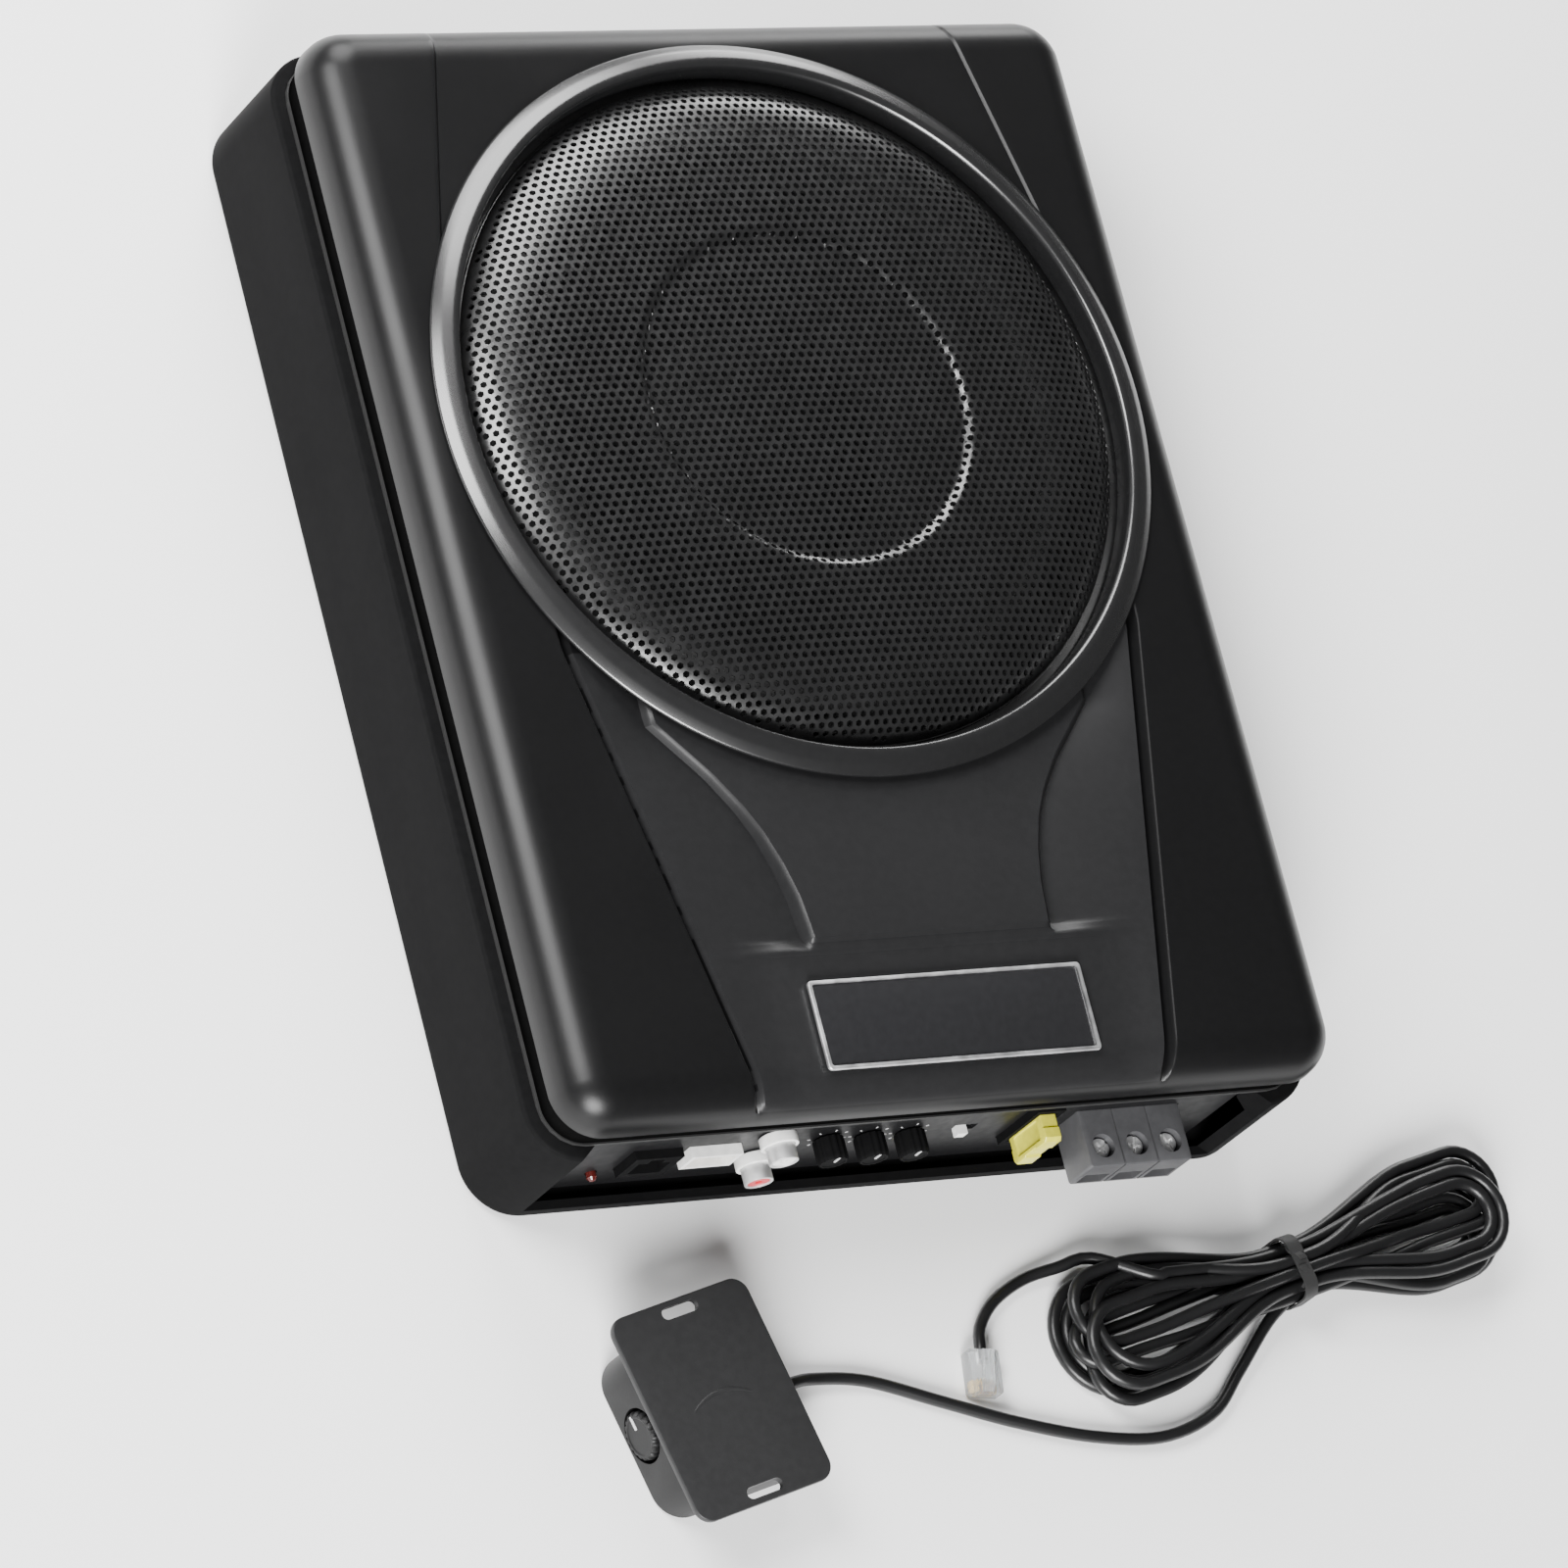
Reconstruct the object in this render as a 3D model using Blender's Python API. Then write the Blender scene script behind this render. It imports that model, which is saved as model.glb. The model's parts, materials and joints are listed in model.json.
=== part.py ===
"""Powered under-seat car subwoofer with its wired level remote.

Frame: the origin is the centre of the tray's underside, +Z points up through the
grille, the connector panel faces -Y and +X runs along the panel. The remote and
its hank of cord lie on the same floor, in front of the connector panel.
All driving dimensions are in millimetres and are turned into metres by MM.
"""
import math

import bmesh
import bpy
from mathutils import Matrix, Vector

MM = 0.001
GAP = 0.3                 # clearance between touching pieces

# Cabinet outline
HALF_WIDTH = 125.0
HALF_LENGTH = 166.0
CORNER_RADIUS = 16.0
CORNER_STEPS = 5

# Lower tray
TRAY_TOP = 44.0
TRAY_WALL = 2.6
TRAY_EDGE_RADIUS = 3.0
RIM_WIDTH = 6.8           # inward flange that carries the gasket
RIM_DEPTH = 6.0
NOTCH_HALF = 104.0        # opening for the connector panel
NOTCH_SILL = 6.0
NOTCH_FLARE = 9.0

# Gasket and upper cover
GASKET_THICKNESS = 1.2
SKIRT_BOTTOM = TRAY_TOP + GASKET_THICKNESS + 2 * GAP
SKIRT_INSET = 4.3         # shadow groove between tray and cover
SHOULDER_BOTTOM = 55.0
SHOULDER_INSET = 2.0
SHOULDER_RADIUS = 12.0
COVER_TOP = 69.0
COVER_WALL = 2.6
RECESS_DEPTH = 1.3        # sunken V on the face, below the grille

# Loudspeaker, all radii about DRIVER_Y
DRIVER_Y = 41.5
SEAT_RADIUS = 107.0
SEAT_BORE = 96.0
SEAT_Z = 58.0
TRIM_RADIUS = 112.4
GRILLE_RADIUS = 101.5
GRILLE_TOP = 77.5
DRIVER_SCREW_RADIUS = 101.0
POLE_RADIUS = 18.2
FORMER_RADIUS = 19.4
MAGNET_RADIUS = 55.0
ROLL_CENTRE = 84.3        # half roll of the surround
ROLL_Z = 61.9
ROLL_RADIUS = 6.9
ROLL_THICKNESS = 0.8

# Badge on the face
BADGE_Y = -141.5
BADGE_HALF_X = 43.5
BADGE_HALF_Y = 13.0

# Fastener posts between tray and cover
POST_X = 105.0
POST_Y = 146.0
POST_SIGNS = [(1, 1), (-1, 1), (-1, -1), (1, -1)]

# Connector panel
PANEL_FACE = -160.0       # outer face, recessed behind the tray's end
PANEL_THICKNESS = 2.0
KNOB_PLACES = {"gain": -25.0, "crossover": -12.0, "boost": 1.0}
KNOB_Z = 29.0
SWITCH_X = 19.0
SWITCH_TRAVEL = 3.0
FUSE_X = 40.0
FUSE_Z = 30.0
TERMINAL_X = 69.8
TERMINAL_Z = 27.0
TERMINAL_PITCH = 11.0
TERMINAL_HALF = 16.6
RCA_X = -44.0
RCA_WHITE_Z = 35.0
RCA_RED_Z = 19.5
SOCKET_X = -61.0
SOCKET_Z = 26.0
JACK_X = -79.0
JACK_Z = 24.0
LED_X = -93.0
LED_Z = 16.0

# Wired remote, standing on its underside
REMOTE_CENTRE = (-73.0, -229.0)
REMOTE_YAW = math.radians(13.0)
REMOTE_DEPTH = 42.0
REMOTE_WIDTH = 48.0
REMOTE_HEIGHT = 18.7
PLATE_DEPTH = 46.0
PLATE_WIDTH = 61.0
PLATE_THICKNESS = 2.0
REMOTE_KNOB_RADIUS = 7.0

# Cord and its hank
CORD_DIAMETER = 3.6
CORD_Z = CORD_DIAMETER / 2 + GAP
HANK_CENTRE = (124.5, -204.0)
HANK_YAW = math.radians(12.5)
HANK_HALF_LENGTH = 82.0
HANK_WAIST = 8.2
HANK_LEFT_FAN = 21.0
HANK_RIGHT_FAN = 19.0
HANK_BOTTOM = 1.5
HANK_TOP = 15.5
PLUG_PLACE = (21.6, -217.0, 0.0)
PLUG_YAW = math.radians(-8)
PLUG_HALF_WIDTH = 4.8


# ---------------------------------------------------------------- helpers

def clear_scene():
    for item in list(bpy.data.objects):
        bpy.data.objects.remove(item, do_unlink=True)


def material(name, colour, roughness, metallic=0.0):
    existing = bpy.data.materials.get(name)
    if existing:
        return existing
    mat = bpy.data.materials.new(name)
    mat.use_nodes = True
    shader = mat.node_tree.nodes["Principled BSDF"]
    shader.inputs["Base Color"].default_value = (*colour, 1.0)
    shader.inputs["Roughness"].default_value = roughness
    shader.inputs["Metallic"].default_value = metallic
    return mat


def finish(name, bm, mat, smooth=False, place=None):
    """Turn a bmesh in millimetres into a named object in metres."""
    bmesh.ops.remove_doubles(bm, verts=bm.verts, dist=0.001)
    bmesh.ops.recalc_face_normals(bm, faces=bm.faces)
    bmesh.ops.scale(bm, vec=(MM, MM, MM), verts=bm.verts)
    mesh = bpy.data.meshes.new(name)
    bm.to_mesh(mesh)
    bm.free()
    if smooth:
        mesh.shade_smooth()
        mesh.set_sharp_from_angle(angle=math.radians(35))
    item = bpy.data.objects.new(name, mesh)
    bpy.context.collection.objects.link(item)
    if mat:
        mesh.materials.append(mat)
    if place:
        item.location = Vector(place) * MM
    return item


def as_cutter(item):
    item.hide_render = True
    item.display_type = "WIRE"
    return item


def combine(item, tool, operation="DIFFERENCE"):
    mod = item.modifiers.new(tool.name, "BOOLEAN")
    mod.operation = operation
    mod.solver = "EXACT"
    mod.object = as_cutter(tool)


def prism_mesh(outline, low, high, axis="Z"):
    """Closed prism over an outline of (a, b) points, from low to high on its axis."""
    bm = bmesh.new()
    order = {"Z": lambda a, b, c: (a, b, c), "Y": lambda a, b, c: (a, c, b), "X": lambda a, b, c: (c, a, b)}
    place = order[axis]
    face = bm.faces.new([bm.verts.new(place(a, b, low)) for a, b in outline])
    grown = bmesh.ops.extrude_face_region(bm, geom=[face])
    moved = [v for v in grown["geom"] if isinstance(v, bmesh.types.BMVert)]
    step = place(0.0, 0.0, high - low)
    bmesh.ops.translate(bm, vec=step, verts=moved)
    return bm


def prism(name, outline, low, high, mat=None, axis="Z", place=None):
    return finish(name, prism_mesh(outline, low, high, axis), mat, place=place)


def block(name, low, high, mat=None, place=None):
    outline = [(low[0], low[1]), (high[0], low[1]), (high[0], high[1]), (low[0], high[1])]
    return prism(name, outline, low[2], high[2], mat, place=place)


def rounded_rectangle(half_x, half_y, radius, steps):
    points = []
    corners = [(1, 1, 0.0), (-1, 1, 0.5), (-1, -1, 1.0), (1, -1, 1.5)]
    for side_x, side_y, start in corners:
        for step in range(steps + 1):
            angle = math.pi * (start + 0.5 * step / steps)
            x = side_x * (half_x - radius) + radius * math.cos(angle)
            y = side_y * (half_y - radius) + radius * math.sin(angle)
            points.append((x, y))
    return points


def turned(name, profile, mat=None, steps=32, place=(0, 0, 0), axis="Z", closed=True, smooth=True):
    """Spin a profile of (radius, height) points; closed profiles give rings."""
    bm = bmesh.new()
    verts = [bm.verts.new((r, 0.0, h)) for r, h in profile]
    edges = [bm.edges.new(pair) for pair in zip(verts, verts[1:])]
    if closed:
        edges.append(bm.edges.new((verts[-1], verts[0])))
    bmesh.ops.spin(bm, geom=verts + edges, cent=(0, 0, 0), axis=(0, 0, 1), angle=2 * math.pi,
                   steps=steps, use_merge=True)
    turn = {"Z": Matrix.Identity(4), "-Y": Matrix.Rotation(math.pi / 2, 4, "X"),
            "-X": Matrix.Rotation(-math.pi / 2, 4, "Y")}[axis]
    bmesh.ops.transform(bm, matrix=turn, verts=bm.verts)
    return finish(name, bm, mat, smooth=smooth, place=place)


def lofted_shell(name, levels, mat):
    """Closed shell through rounded-rectangle loops of (inset, z), capped at both ends."""
    bm = bmesh.new()
    loops = []
    for inset, height in levels:
        radius = max(CORNER_RADIUS - inset, 4.0)
        outline = rounded_rectangle(HALF_WIDTH - inset, HALF_LENGTH - inset, radius, CORNER_STEPS)
        loops.append([bm.verts.new((x, y, height)) for x, y in outline])
    for lower, upper in zip(loops, loops[1:]):
        count = len(lower)
        for i in range(count):
            j = (i + 1) % count
            bm.faces.new((lower[i], lower[j], upper[j], upper[i]))
    bm.faces.new(list(reversed(loops[0])))
    bm.faces.new(loops[-1])
    return finish(name, bm, mat)


def arc(cx, cy, radius, start, end, steps):
    """Points (a, b) on an arc, angles in degrees."""
    points = []
    for step in range(steps + 1):
        angle = math.radians(start + (end - start) * step / steps)
        points.append((cx + radius * math.cos(angle), cy + radius * math.sin(angle)))
    return points


# ---------------------------------------------------------------- materials

BLACK_ABS = material("black_abs", (0.035, 0.035, 0.037), 0.5)
COVER_ABS = material("cover_abs", (0.06, 0.06, 0.062), 0.42)
GRILLE_STEEL = material("grille_steel", (0.02, 0.02, 0.021), 0.35, 0.6)
TRIM_SATIN = material("trim_satin", (0.12, 0.12, 0.125), 0.3)
SILVER = material("badge_silver", (0.7, 0.7, 0.72), 0.25, 1.0)
RUBBER = material("rubber", (0.02, 0.02, 0.02), 0.75)
PAPER = material("cone_paper", (0.025, 0.025, 0.026), 0.7)
CLOTH = material("spider_cloth", (0.55, 0.42, 0.2), 0.9)
STEEL = material("zinc_steel", (0.6, 0.6, 0.6), 0.35, 1.0)
BLACK_STEEL = material("black_steel", (0.04, 0.04, 0.042), 0.45, 0.3)
FERRITE = material("ferrite", (0.05, 0.05, 0.055), 0.6)
COPPER = material("copper", (0.72, 0.35, 0.2), 0.35, 1.0)
BOARD = material("circuit_board", (0.02, 0.16, 0.06), 0.5)
ALUMINIUM = material("aluminium", (0.62, 0.63, 0.65), 0.4, 1.0)
WHITE = material("white_plastic", (0.85, 0.85, 0.83), 0.4)
RED = material("red_plastic", (0.62, 0.03, 0.05), 0.4)
YELLOW = material("fuse_yellow", (0.75, 0.66, 0.05), 0.3)
GREY = material("terminal_grey", (0.16, 0.16, 0.17), 0.45)
LED_RED = material("led_red", (0.7, 0.05, 0.03), 0.25)
CAN_SLEEVE = material("can_sleeve", (0.03, 0.03, 0.06), 0.35)
CORD_PVC = material("cord_pvc", (0.02, 0.02, 0.021), 0.45)
CLEAR = material("clear_plastic", (0.85, 0.87, 0.88), 0.1)


# ---------------------------------------------------------------- cabinet

def make_tray():
    radius = TRAY_EDGE_RADIUS
    outer = [(radius - x, radius + y) for x, y in arc(0, 0, radius, -90, 0, 3)]
    inner_step = TRAY_TOP - RIM_DEPTH - (RIM_WIDTH - TRAY_WALL)
    levels = outer + [(0.0, TRAY_TOP), (RIM_WIDTH, TRAY_TOP), (RIM_WIDTH, TRAY_TOP - RIM_DEPTH),
                      (TRAY_WALL, inner_step), (TRAY_WALL, TRAY_WALL)]
    tray = lofted_shell("base_tray", levels, BLACK_ABS)
    end = -HALF_LENGTH
    notch = [(-NOTCH_HALF, end + 10), (-NOTCH_HALF, PANEL_FACE - GAP), (-NOTCH_HALF - NOTCH_FLARE, end - 2),
             (NOTCH_HALF + NOTCH_FLARE, end - 2), (NOTCH_HALF, PANEL_FACE - GAP), (NOTCH_HALF, end + 10)]
    combine(tray, prism("notch_cutter", notch, NOTCH_SILL, TRAY_TOP + 5))
    for index, (side_x, side_y) in enumerate(POST_SIGNS, start=1):
        spot = (side_x * POST_X, side_y * POST_Y, 0)
        boss = turned(f"boss_{index}", [(0, 4.6), (7.5, 4.6), (7.5, 1.0), (0, 1.0)], place=spot, steps=20,
                      closed=False)
        combine(tray, boss, "UNION")
        bore = turned(f"screw_bore_{index}", [(0, 8), (2.3, 8), (2.3, 2.1), (4.2, 2.1), (4.2, -2), (0, -2)],
                      place=spot, steps=20, closed=False)
        combine(tray, bore)
    return tray


def make_gasket():
    outer = rounded_rectangle(HALF_WIDTH - 3.9, HALF_LENGTH - 3.9, CORNER_RADIUS - 3.9, CORNER_STEPS)
    inner = rounded_rectangle(HALF_WIDTH - 6.6, HALF_LENGTH - 6.6, CORNER_RADIUS - 6.6, CORNER_STEPS)
    low = TRAY_TOP + GAP
    gasket = prism("cover_gasket", outer, low, low + GASKET_THICKNESS, RUBBER)
    combine(gasket, prism("gasket_core", inner, low - 1, low + 3))
    return gasket


def recess_outline():
    """The sunken V of the face: groove lines outside, the raised centre panel inside."""
    ring = 114.5
    left_angle = math.degrees(math.atan2(-68.0, -92.0))
    crease_angle = math.degrees(math.atan2(-95.0, -64.0))
    outer_arc = arc(0, DRIVER_Y, ring, left_angle, crease_angle, 5)
    crease = [(-52.0, -70.0), (-45.0, -84.0), (-40.5, -100.0), (-38.5, -116.0)]
    left = [(-66.0, -172.0)] + outer_arc + crease
    right = [(-x, y) for x, y in reversed(left)]
    return left + right


def make_cover():
    radius = SHOULDER_RADIUS
    top_inset = SHOULDER_INSET + radius
    outer = [(SKIRT_INSET, SKIRT_BOTTOM), (SKIRT_INSET, SHOULDER_BOTTOM - 0.6),
             (SHOULDER_INSET, SHOULDER_BOTTOM)]
    outer += [(top_inset - a, COVER_TOP - radius + b) for a, b in arc(0, 0, radius, 0, 90, 4)]
    wall = COVER_WALL
    inner = [(top_inset - a, COVER_TOP - radius + b) for a, b in arc(0, 0, radius - wall, 90, 0, 3)]
    inner += [(SKIRT_INSET + wall, SHOULDER_BOTTOM), (SKIRT_INSET + wall, SKIRT_BOTTOM)]
    # The shell is lofted from the inner roof, down its inside, round the rim and up outside.
    levels = inner + outer
    cover = lofted_shell("top_cover", levels, COVER_ABS)
    centre = (0, DRIVER_Y, 0)
    seat = turned("seat_disc", [(0, 68), (SEAT_RADIUS + 3, 68), (SEAT_RADIUS + 3, 55.2), (0, 55.2)],
                  place=centre, steps=48, closed=False)
    combine(cover, seat, "UNION")
    plug = [(0, 80), (SEAT_RADIUS, 80), (SEAT_RADIUS, SEAT_Z), (SEAT_BORE, SEAT_Z), (SEAT_BORE, 50), (0, 50)]
    combine(cover, turned("seat_bore", plug, place=centre, steps=48, closed=False))
    combine(cover, prism("face_recess", recess_outline(), COVER_TOP - RECESS_DEPTH, COVER_TOP + 6))
    for index, (side_x, side_y) in enumerate(POST_SIGNS, start=1):
        spot = (side_x * POST_X, side_y * POST_Y, 0)
        post = turned(f"post_{index}", [(0, 67.5), (4.6, 67.5), (4.6, 4.9), (0, 4.9)], place=spot, steps=16,
                      closed=False)
        combine(cover, post, "UNION")
        combine(cover, turned(f"post_bore_{index}", [(0, 15), (2.3, 15), (2.3, 3), (0, 3)], place=spot,
                              steps=16, closed=False))
    for index in range(4):
        combine(cover, turned(f"seat_hole_{index + 1}", [(0, 60), (1.9, 60), (1.9, 53), (0, 53)],
                              place=driver_screw_place(index), steps=12, closed=False))
    return cover


def driver_screw_place(index):
    angle = math.radians(45 + 90 * index)
    radius = DRIVER_SCREW_RADIUS
    return (radius * math.cos(angle), DRIVER_Y + radius * math.sin(angle), 0)


def make_badge():
    half_x, half_y = BADGE_HALF_X, BADGE_HALF_Y
    low = COVER_TOP - RECESS_DEPTH + GAP
    place = (0, BADGE_Y, 0)
    inner = rounded_rectangle(half_x - 1.5, half_y - 1.5, 0.6, 2)
    prism("badge_plate", inner, low, low + 1.0, TRIM_SATIN, place=place)
    frame = prism("badge_frame", rounded_rectangle(half_x, half_y, 1.2, 3), low, low + 1.4, SILVER,
                  place=place)
    window = rounded_rectangle(half_x - 1.2, half_y - 1.2, 0.8, 2)
    combine(frame, prism("badge_window", window, low - 1, low + 3, place=place))


def make_trim_ring():
    inner = SEAT_RADIUS - 2.9
    outer = SEAT_RADIUS - 0.4
    low = COVER_TOP + GAP
    profile = [(inner, 64.6), (outer, 64.6), (outer, low), (TRIM_RADIUS, low),
               (TRIM_RADIUS - 0.3, low + 1.0), (109.0, 71.9), (106.4, 73.0), (105.0, 72.8), (inner, 71.6)]
    turned("trim_ring", profile, TRIM_SATIN, steps=48, place=(0, DRIVER_Y, 0))


def make_grille():
    """Raised pan: foot flange, steep wall, rounded shoulder, shallow dome, sunken centre."""
    outside = [(106.3, 64.3), (102.6, 64.3), (GRILLE_RADIUS, 65.4), (98.6, 69.0), (94.0, 72.0), (87.0, 74.3),
               (76.0, 76.0), (62.0, 77.0), (51.5, GRILLE_TOP), (49.8, GRILLE_TOP - 1.2), (25.0, 76.8),
               (0.0, 77.0)]
    inside = [(0.0, 76.0), (25.0, 75.8), (50.6, 75.2), (61.8, 76.0), (75.8, 75.0), (86.6, 73.3), (93.4, 71.1),
              (97.8, 68.3), (100.6, 64.9), (102.0, 63.3), (106.3, 63.3)]
    turned("grille", outside + inside, GRILLE_STEEL, steps=40, place=(0, DRIVER_Y, 0))


# ---------------------------------------------------------------- loudspeaker

def make_basket():
    profile = [(106.2, 58.3), (106.2, 60.8), (93.0, 60.8), (91.4, 57.0), (60.0, 27.5), (57.8, 26.0),
               (30.0, 26.0), (30.0, 24.0), (58.6, 24.0), (61.6, 26.0), (94.4, 57.0), (95.4, 58.3)]
    basket = turned("driver_basket", profile, BLACK_STEEL, steps=36, place=(0, DRIVER_Y, 0))
    for index in range(6):
        window = [(52, -14), (100, -26), (100, 26), (52, 14)]
        cutter = prism(f"basket_window_{index + 1}", window, 30, 53, place=(0, DRIVER_Y, 0))
        cutter.rotation_euler.z = math.radians(60 * index + 15)
        combine(basket, cutter)
    for index in range(4):
        combine(basket, turned(f"flange_hole_{index + 1}", [(0, 64), (1.9, 64), (1.9, 57), (0, 57)],
                               place=driver_screw_place(index), steps=12, closed=False))


def make_cone_assembly():
    place = (0, DRIVER_Y, 0)
    cone = [(77.0, 60.8), (77.0, 60.0), (74.4, 60.0), (20.6, 36.0), (19.8, 36.0), (19.8, 36.9), (73.8, 60.8)]
    turned("cone", cone, PAPER, steps=32, place=place)
    rise = [math.pi / 2 * k / 5 for k in range(6)]
    dome = [(37.0 * math.sin(a), 44.8 + 9.0 * math.cos(a)) for a in rise]
    inner = [(36.2 * math.sin(a), 44.8 + 8.2 * math.cos(a)) for a in reversed(rise)]
    turned("dust_cap", dome + inner, PAPER, steps=24, place=place)
    inner_former = FORMER_RADIUS - 0.5
    former = [(inner_former, 15.0), (FORMER_RADIUS, 15.0), (FORMER_RADIUS, 38.2), (inner_former, 38.2)]
    turned("coil_former", former, ALUMINIUM, steps=28, place=place)
    turned("voice_coil", [(19.75, 15.4), (21.0, 15.4), (21.0, 26.2), (19.75, 26.2)], COPPER, steps=28,
           place=place)
    roll = arc(ROLL_CENTRE, ROLL_Z, ROLL_RADIUS, 0, 180, 8)
    under = arc(ROLL_CENTRE, ROLL_Z, ROLL_RADIUS - ROLL_THICKNESS, 180, 0, 6)
    low = ROLL_Z - ROLL_THICKNESS
    surround = [(96.2, ROLL_Z)] + roll + [(73.6, ROLL_Z), (73.6, low), (78.2, low)] + under[1:-1]
    surround += [(90.4, low), (96.2, low)]
    turned("cone_surround", surround, RUBBER, steps=32, place=place)
    make_spider(place)


def make_spider(place):
    """Corrugated suspension disc with a foot ring that stands on the basket."""
    start, end, waves = 19.8, 53.0, 4
    steps = 12
    top = []
    for k in range(steps + 1):
        radius = start + (end - start) * k / steps
        top.append((radius, 32.2 + 1.1 * math.sin(2 * math.pi * waves * k / steps)))
    bottom = [(r, h - 0.7) for r, h in reversed(top)]
    foot = [(56.0, 32.2), (56.0, 26.3), (54.4, 26.3), (53.6, 31.0)]
    turned("spider", top + foot + bottom, CLOTH, steps=20, place=place)


def make_motor():
    place = (0, DRIVER_Y, 0)
    turned("motor_top_plate", [(22.0, 17.8), (53.0, 17.8), (53.0, 23.7), (22.0, 23.7)], STEEL, place=place)
    turned("magnet", [(30.0, 9.5), (MAGNET_RADIUS, 9.5), (MAGNET_RADIUS, 17.5), (30.0, 17.5)], FERRITE,
           place=place)
    yoke = [(6.0, 4.2), (51.0, 4.2), (53.0, 5.6), (53.0, 9.2), (POLE_RADIUS, 9.2), (POLE_RADIUS, 23.7),
            (6.0, 23.7)]
    turned("motor_yoke", yoke, STEEL, place=place)


def make_driver_screws():
    profile = [(0, 62.8), (2.2, 62.6), (3.0, 61.9), (3.0, 61.1), (1.6, 61.1), (1.6, 54.0), (0, 54.0)]
    for index in range(4):
        turned(f"driver_screw_{index + 1}", profile, STEEL, steps=16, place=driver_screw_place(index),
               closed=False)


def make_cover_screws():
    profile = [(0, 13.5), (2.0, 13.5), (2.0, 1.8), (3.9, 1.8), (3.9, 0.9), (2.6, 0.3), (0, 0.3)]
    for index, (side_x, side_y) in enumerate(POST_SIGNS, start=1):
        turned(f"cover_screw_{index}", profile, STEEL, steps=16, closed=False,
               place=(side_x * POST_X, side_y * POST_Y, 0))


# ---------------------------------------------------------------- panel and electronics

def panel_hole(panel, name, x, z, half_x, half_z):
    combine(panel, block(name, (x - half_x, PANEL_FACE - 5, z - half_z),
                         (x + half_x, PANEL_FACE + PANEL_THICKNESS + 5, z + half_z)))


def round_hole(panel, name, x, z, radius):
    combine(panel, turned(name, [(0, 12), (radius, 12), (radius, -12), (0, -12)], place=(x, PANEL_FACE, z),
                          axis="-Y", steps=24, closed=False))


def make_panel():
    half = NOTCH_HALF - GAP
    panel = block("control_panel", (-half, PANEL_FACE, NOTCH_SILL + GAP),
                  (half, PANEL_FACE + PANEL_THICKNESS, TRAY_TOP - 0.1), BLACK_STEEL)
    for name, x in KNOB_PLACES.items():
        round_hole(panel, f"{name}_hole", x, KNOB_Z, 1.9)
    round_hole(panel, "white_hole", RCA_X, RCA_WHITE_Z, 4.5)
    round_hole(panel, "red_hole", RCA_X, RCA_RED_Z, 4.5)
    round_hole(panel, "led_hole", LED_X, LED_Z, 1.8)
    panel_hole(panel, "jack_hole", JACK_X, JACK_Z, 7.8, 7.1)
    panel_hole(panel, "socket_hole", SOCKET_X, SOCKET_Z, 8.3, 4.8)
    panel_hole(panel, "switch_hole", SWITCH_X, KNOB_Z, 3.6, 1.9)
    panel_hole(panel, "fuse_hole", FUSE_X, FUSE_Z, 4.8, 12.6)
    panel_hole(panel, "terminal_hole", TERMINAL_X, TERMINAL_Z, TERMINAL_HALF + GAP, 7.3)


def make_knobs():
    behind = PANEL_FACE + PANEL_THICKNESS + GAP
    for name, x in KNOB_PLACES.items():
        profile = [(0, 7.4), (3.6, 7.4), (4.3, 6.6), (4.5, 0.5), (1.5, 0.5), (1.5, -5.5), (0, -5.5)]
        turned(f"{name}_knob", profile, BLACK_ABS, steps=24, place=(x, PANEL_FACE, KNOB_Z), axis="-Y",
               closed=False)
        pot = block(f"{name}_potentiometer", (x - 5, behind, KNOB_Z - 5), (x + 5, behind + 7, KNOB_Z + 6),
                    GREY)
        combine(pot, turned(f"{name}_shaft_bore", [(0, 6), (1.9, 6), (1.9, -6.2), (0, -6.2)],
                            place=(x, PANEL_FACE, KNOB_Z), axis="-Y", steps=24, closed=False))


def make_phase_switch():
    behind = PANEL_FACE + PANEL_THICKNESS + GAP
    body = block("phase_switch_body", (SWITCH_X - 6, behind, KNOB_Z - 3.5),
                 (SWITCH_X + 6, behind + 6, KNOB_Z + 3.5), STEEL)
    combine(body, block("switch_slot", (SWITCH_X - 3.6, behind - 1, KNOB_Z - 1.9),
                        (SWITCH_X + 3.6, behind + 2.6, KNOB_Z + 1.9)))
    slider_left = SWITCH_X - 3.2
    block("phase_switch_slider", (-1.5, -2.4, -1.5), (1.5, 4.2, 1.5), WHITE,
          place=(slider_left + 1.5, PANEL_FACE, KNOB_Z))


def make_rca():
    behind = PANEL_FACE + PANEL_THICKNESS + GAP
    block("rca_housing", (RCA_X - 7, behind, RCA_RED_Z - 7), (RCA_X + 7, behind + 11, RCA_WHITE_Z + 7),
          BLACK_ABS)
    contact = [(0, 7.2), (0.9, 7.0), (1.2, 6.5), (1.2, 2.4), (3.3, 2.4), (3.3, 8.0), (4.15, 8.0),
               (4.15, 1.8), (5.4, 1.8), (5.4, 0.3), (4.15, 0.3), (4.15, -1.9), (0, -1.9)]
    for name, z, mat in (("rca_white", RCA_WHITE_Z, WHITE), ("rca_red", RCA_RED_Z, RED)):
        turned(name, contact, mat, steps=16, place=(RCA_X, PANEL_FACE, z), axis="-Y", closed=False)


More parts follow.
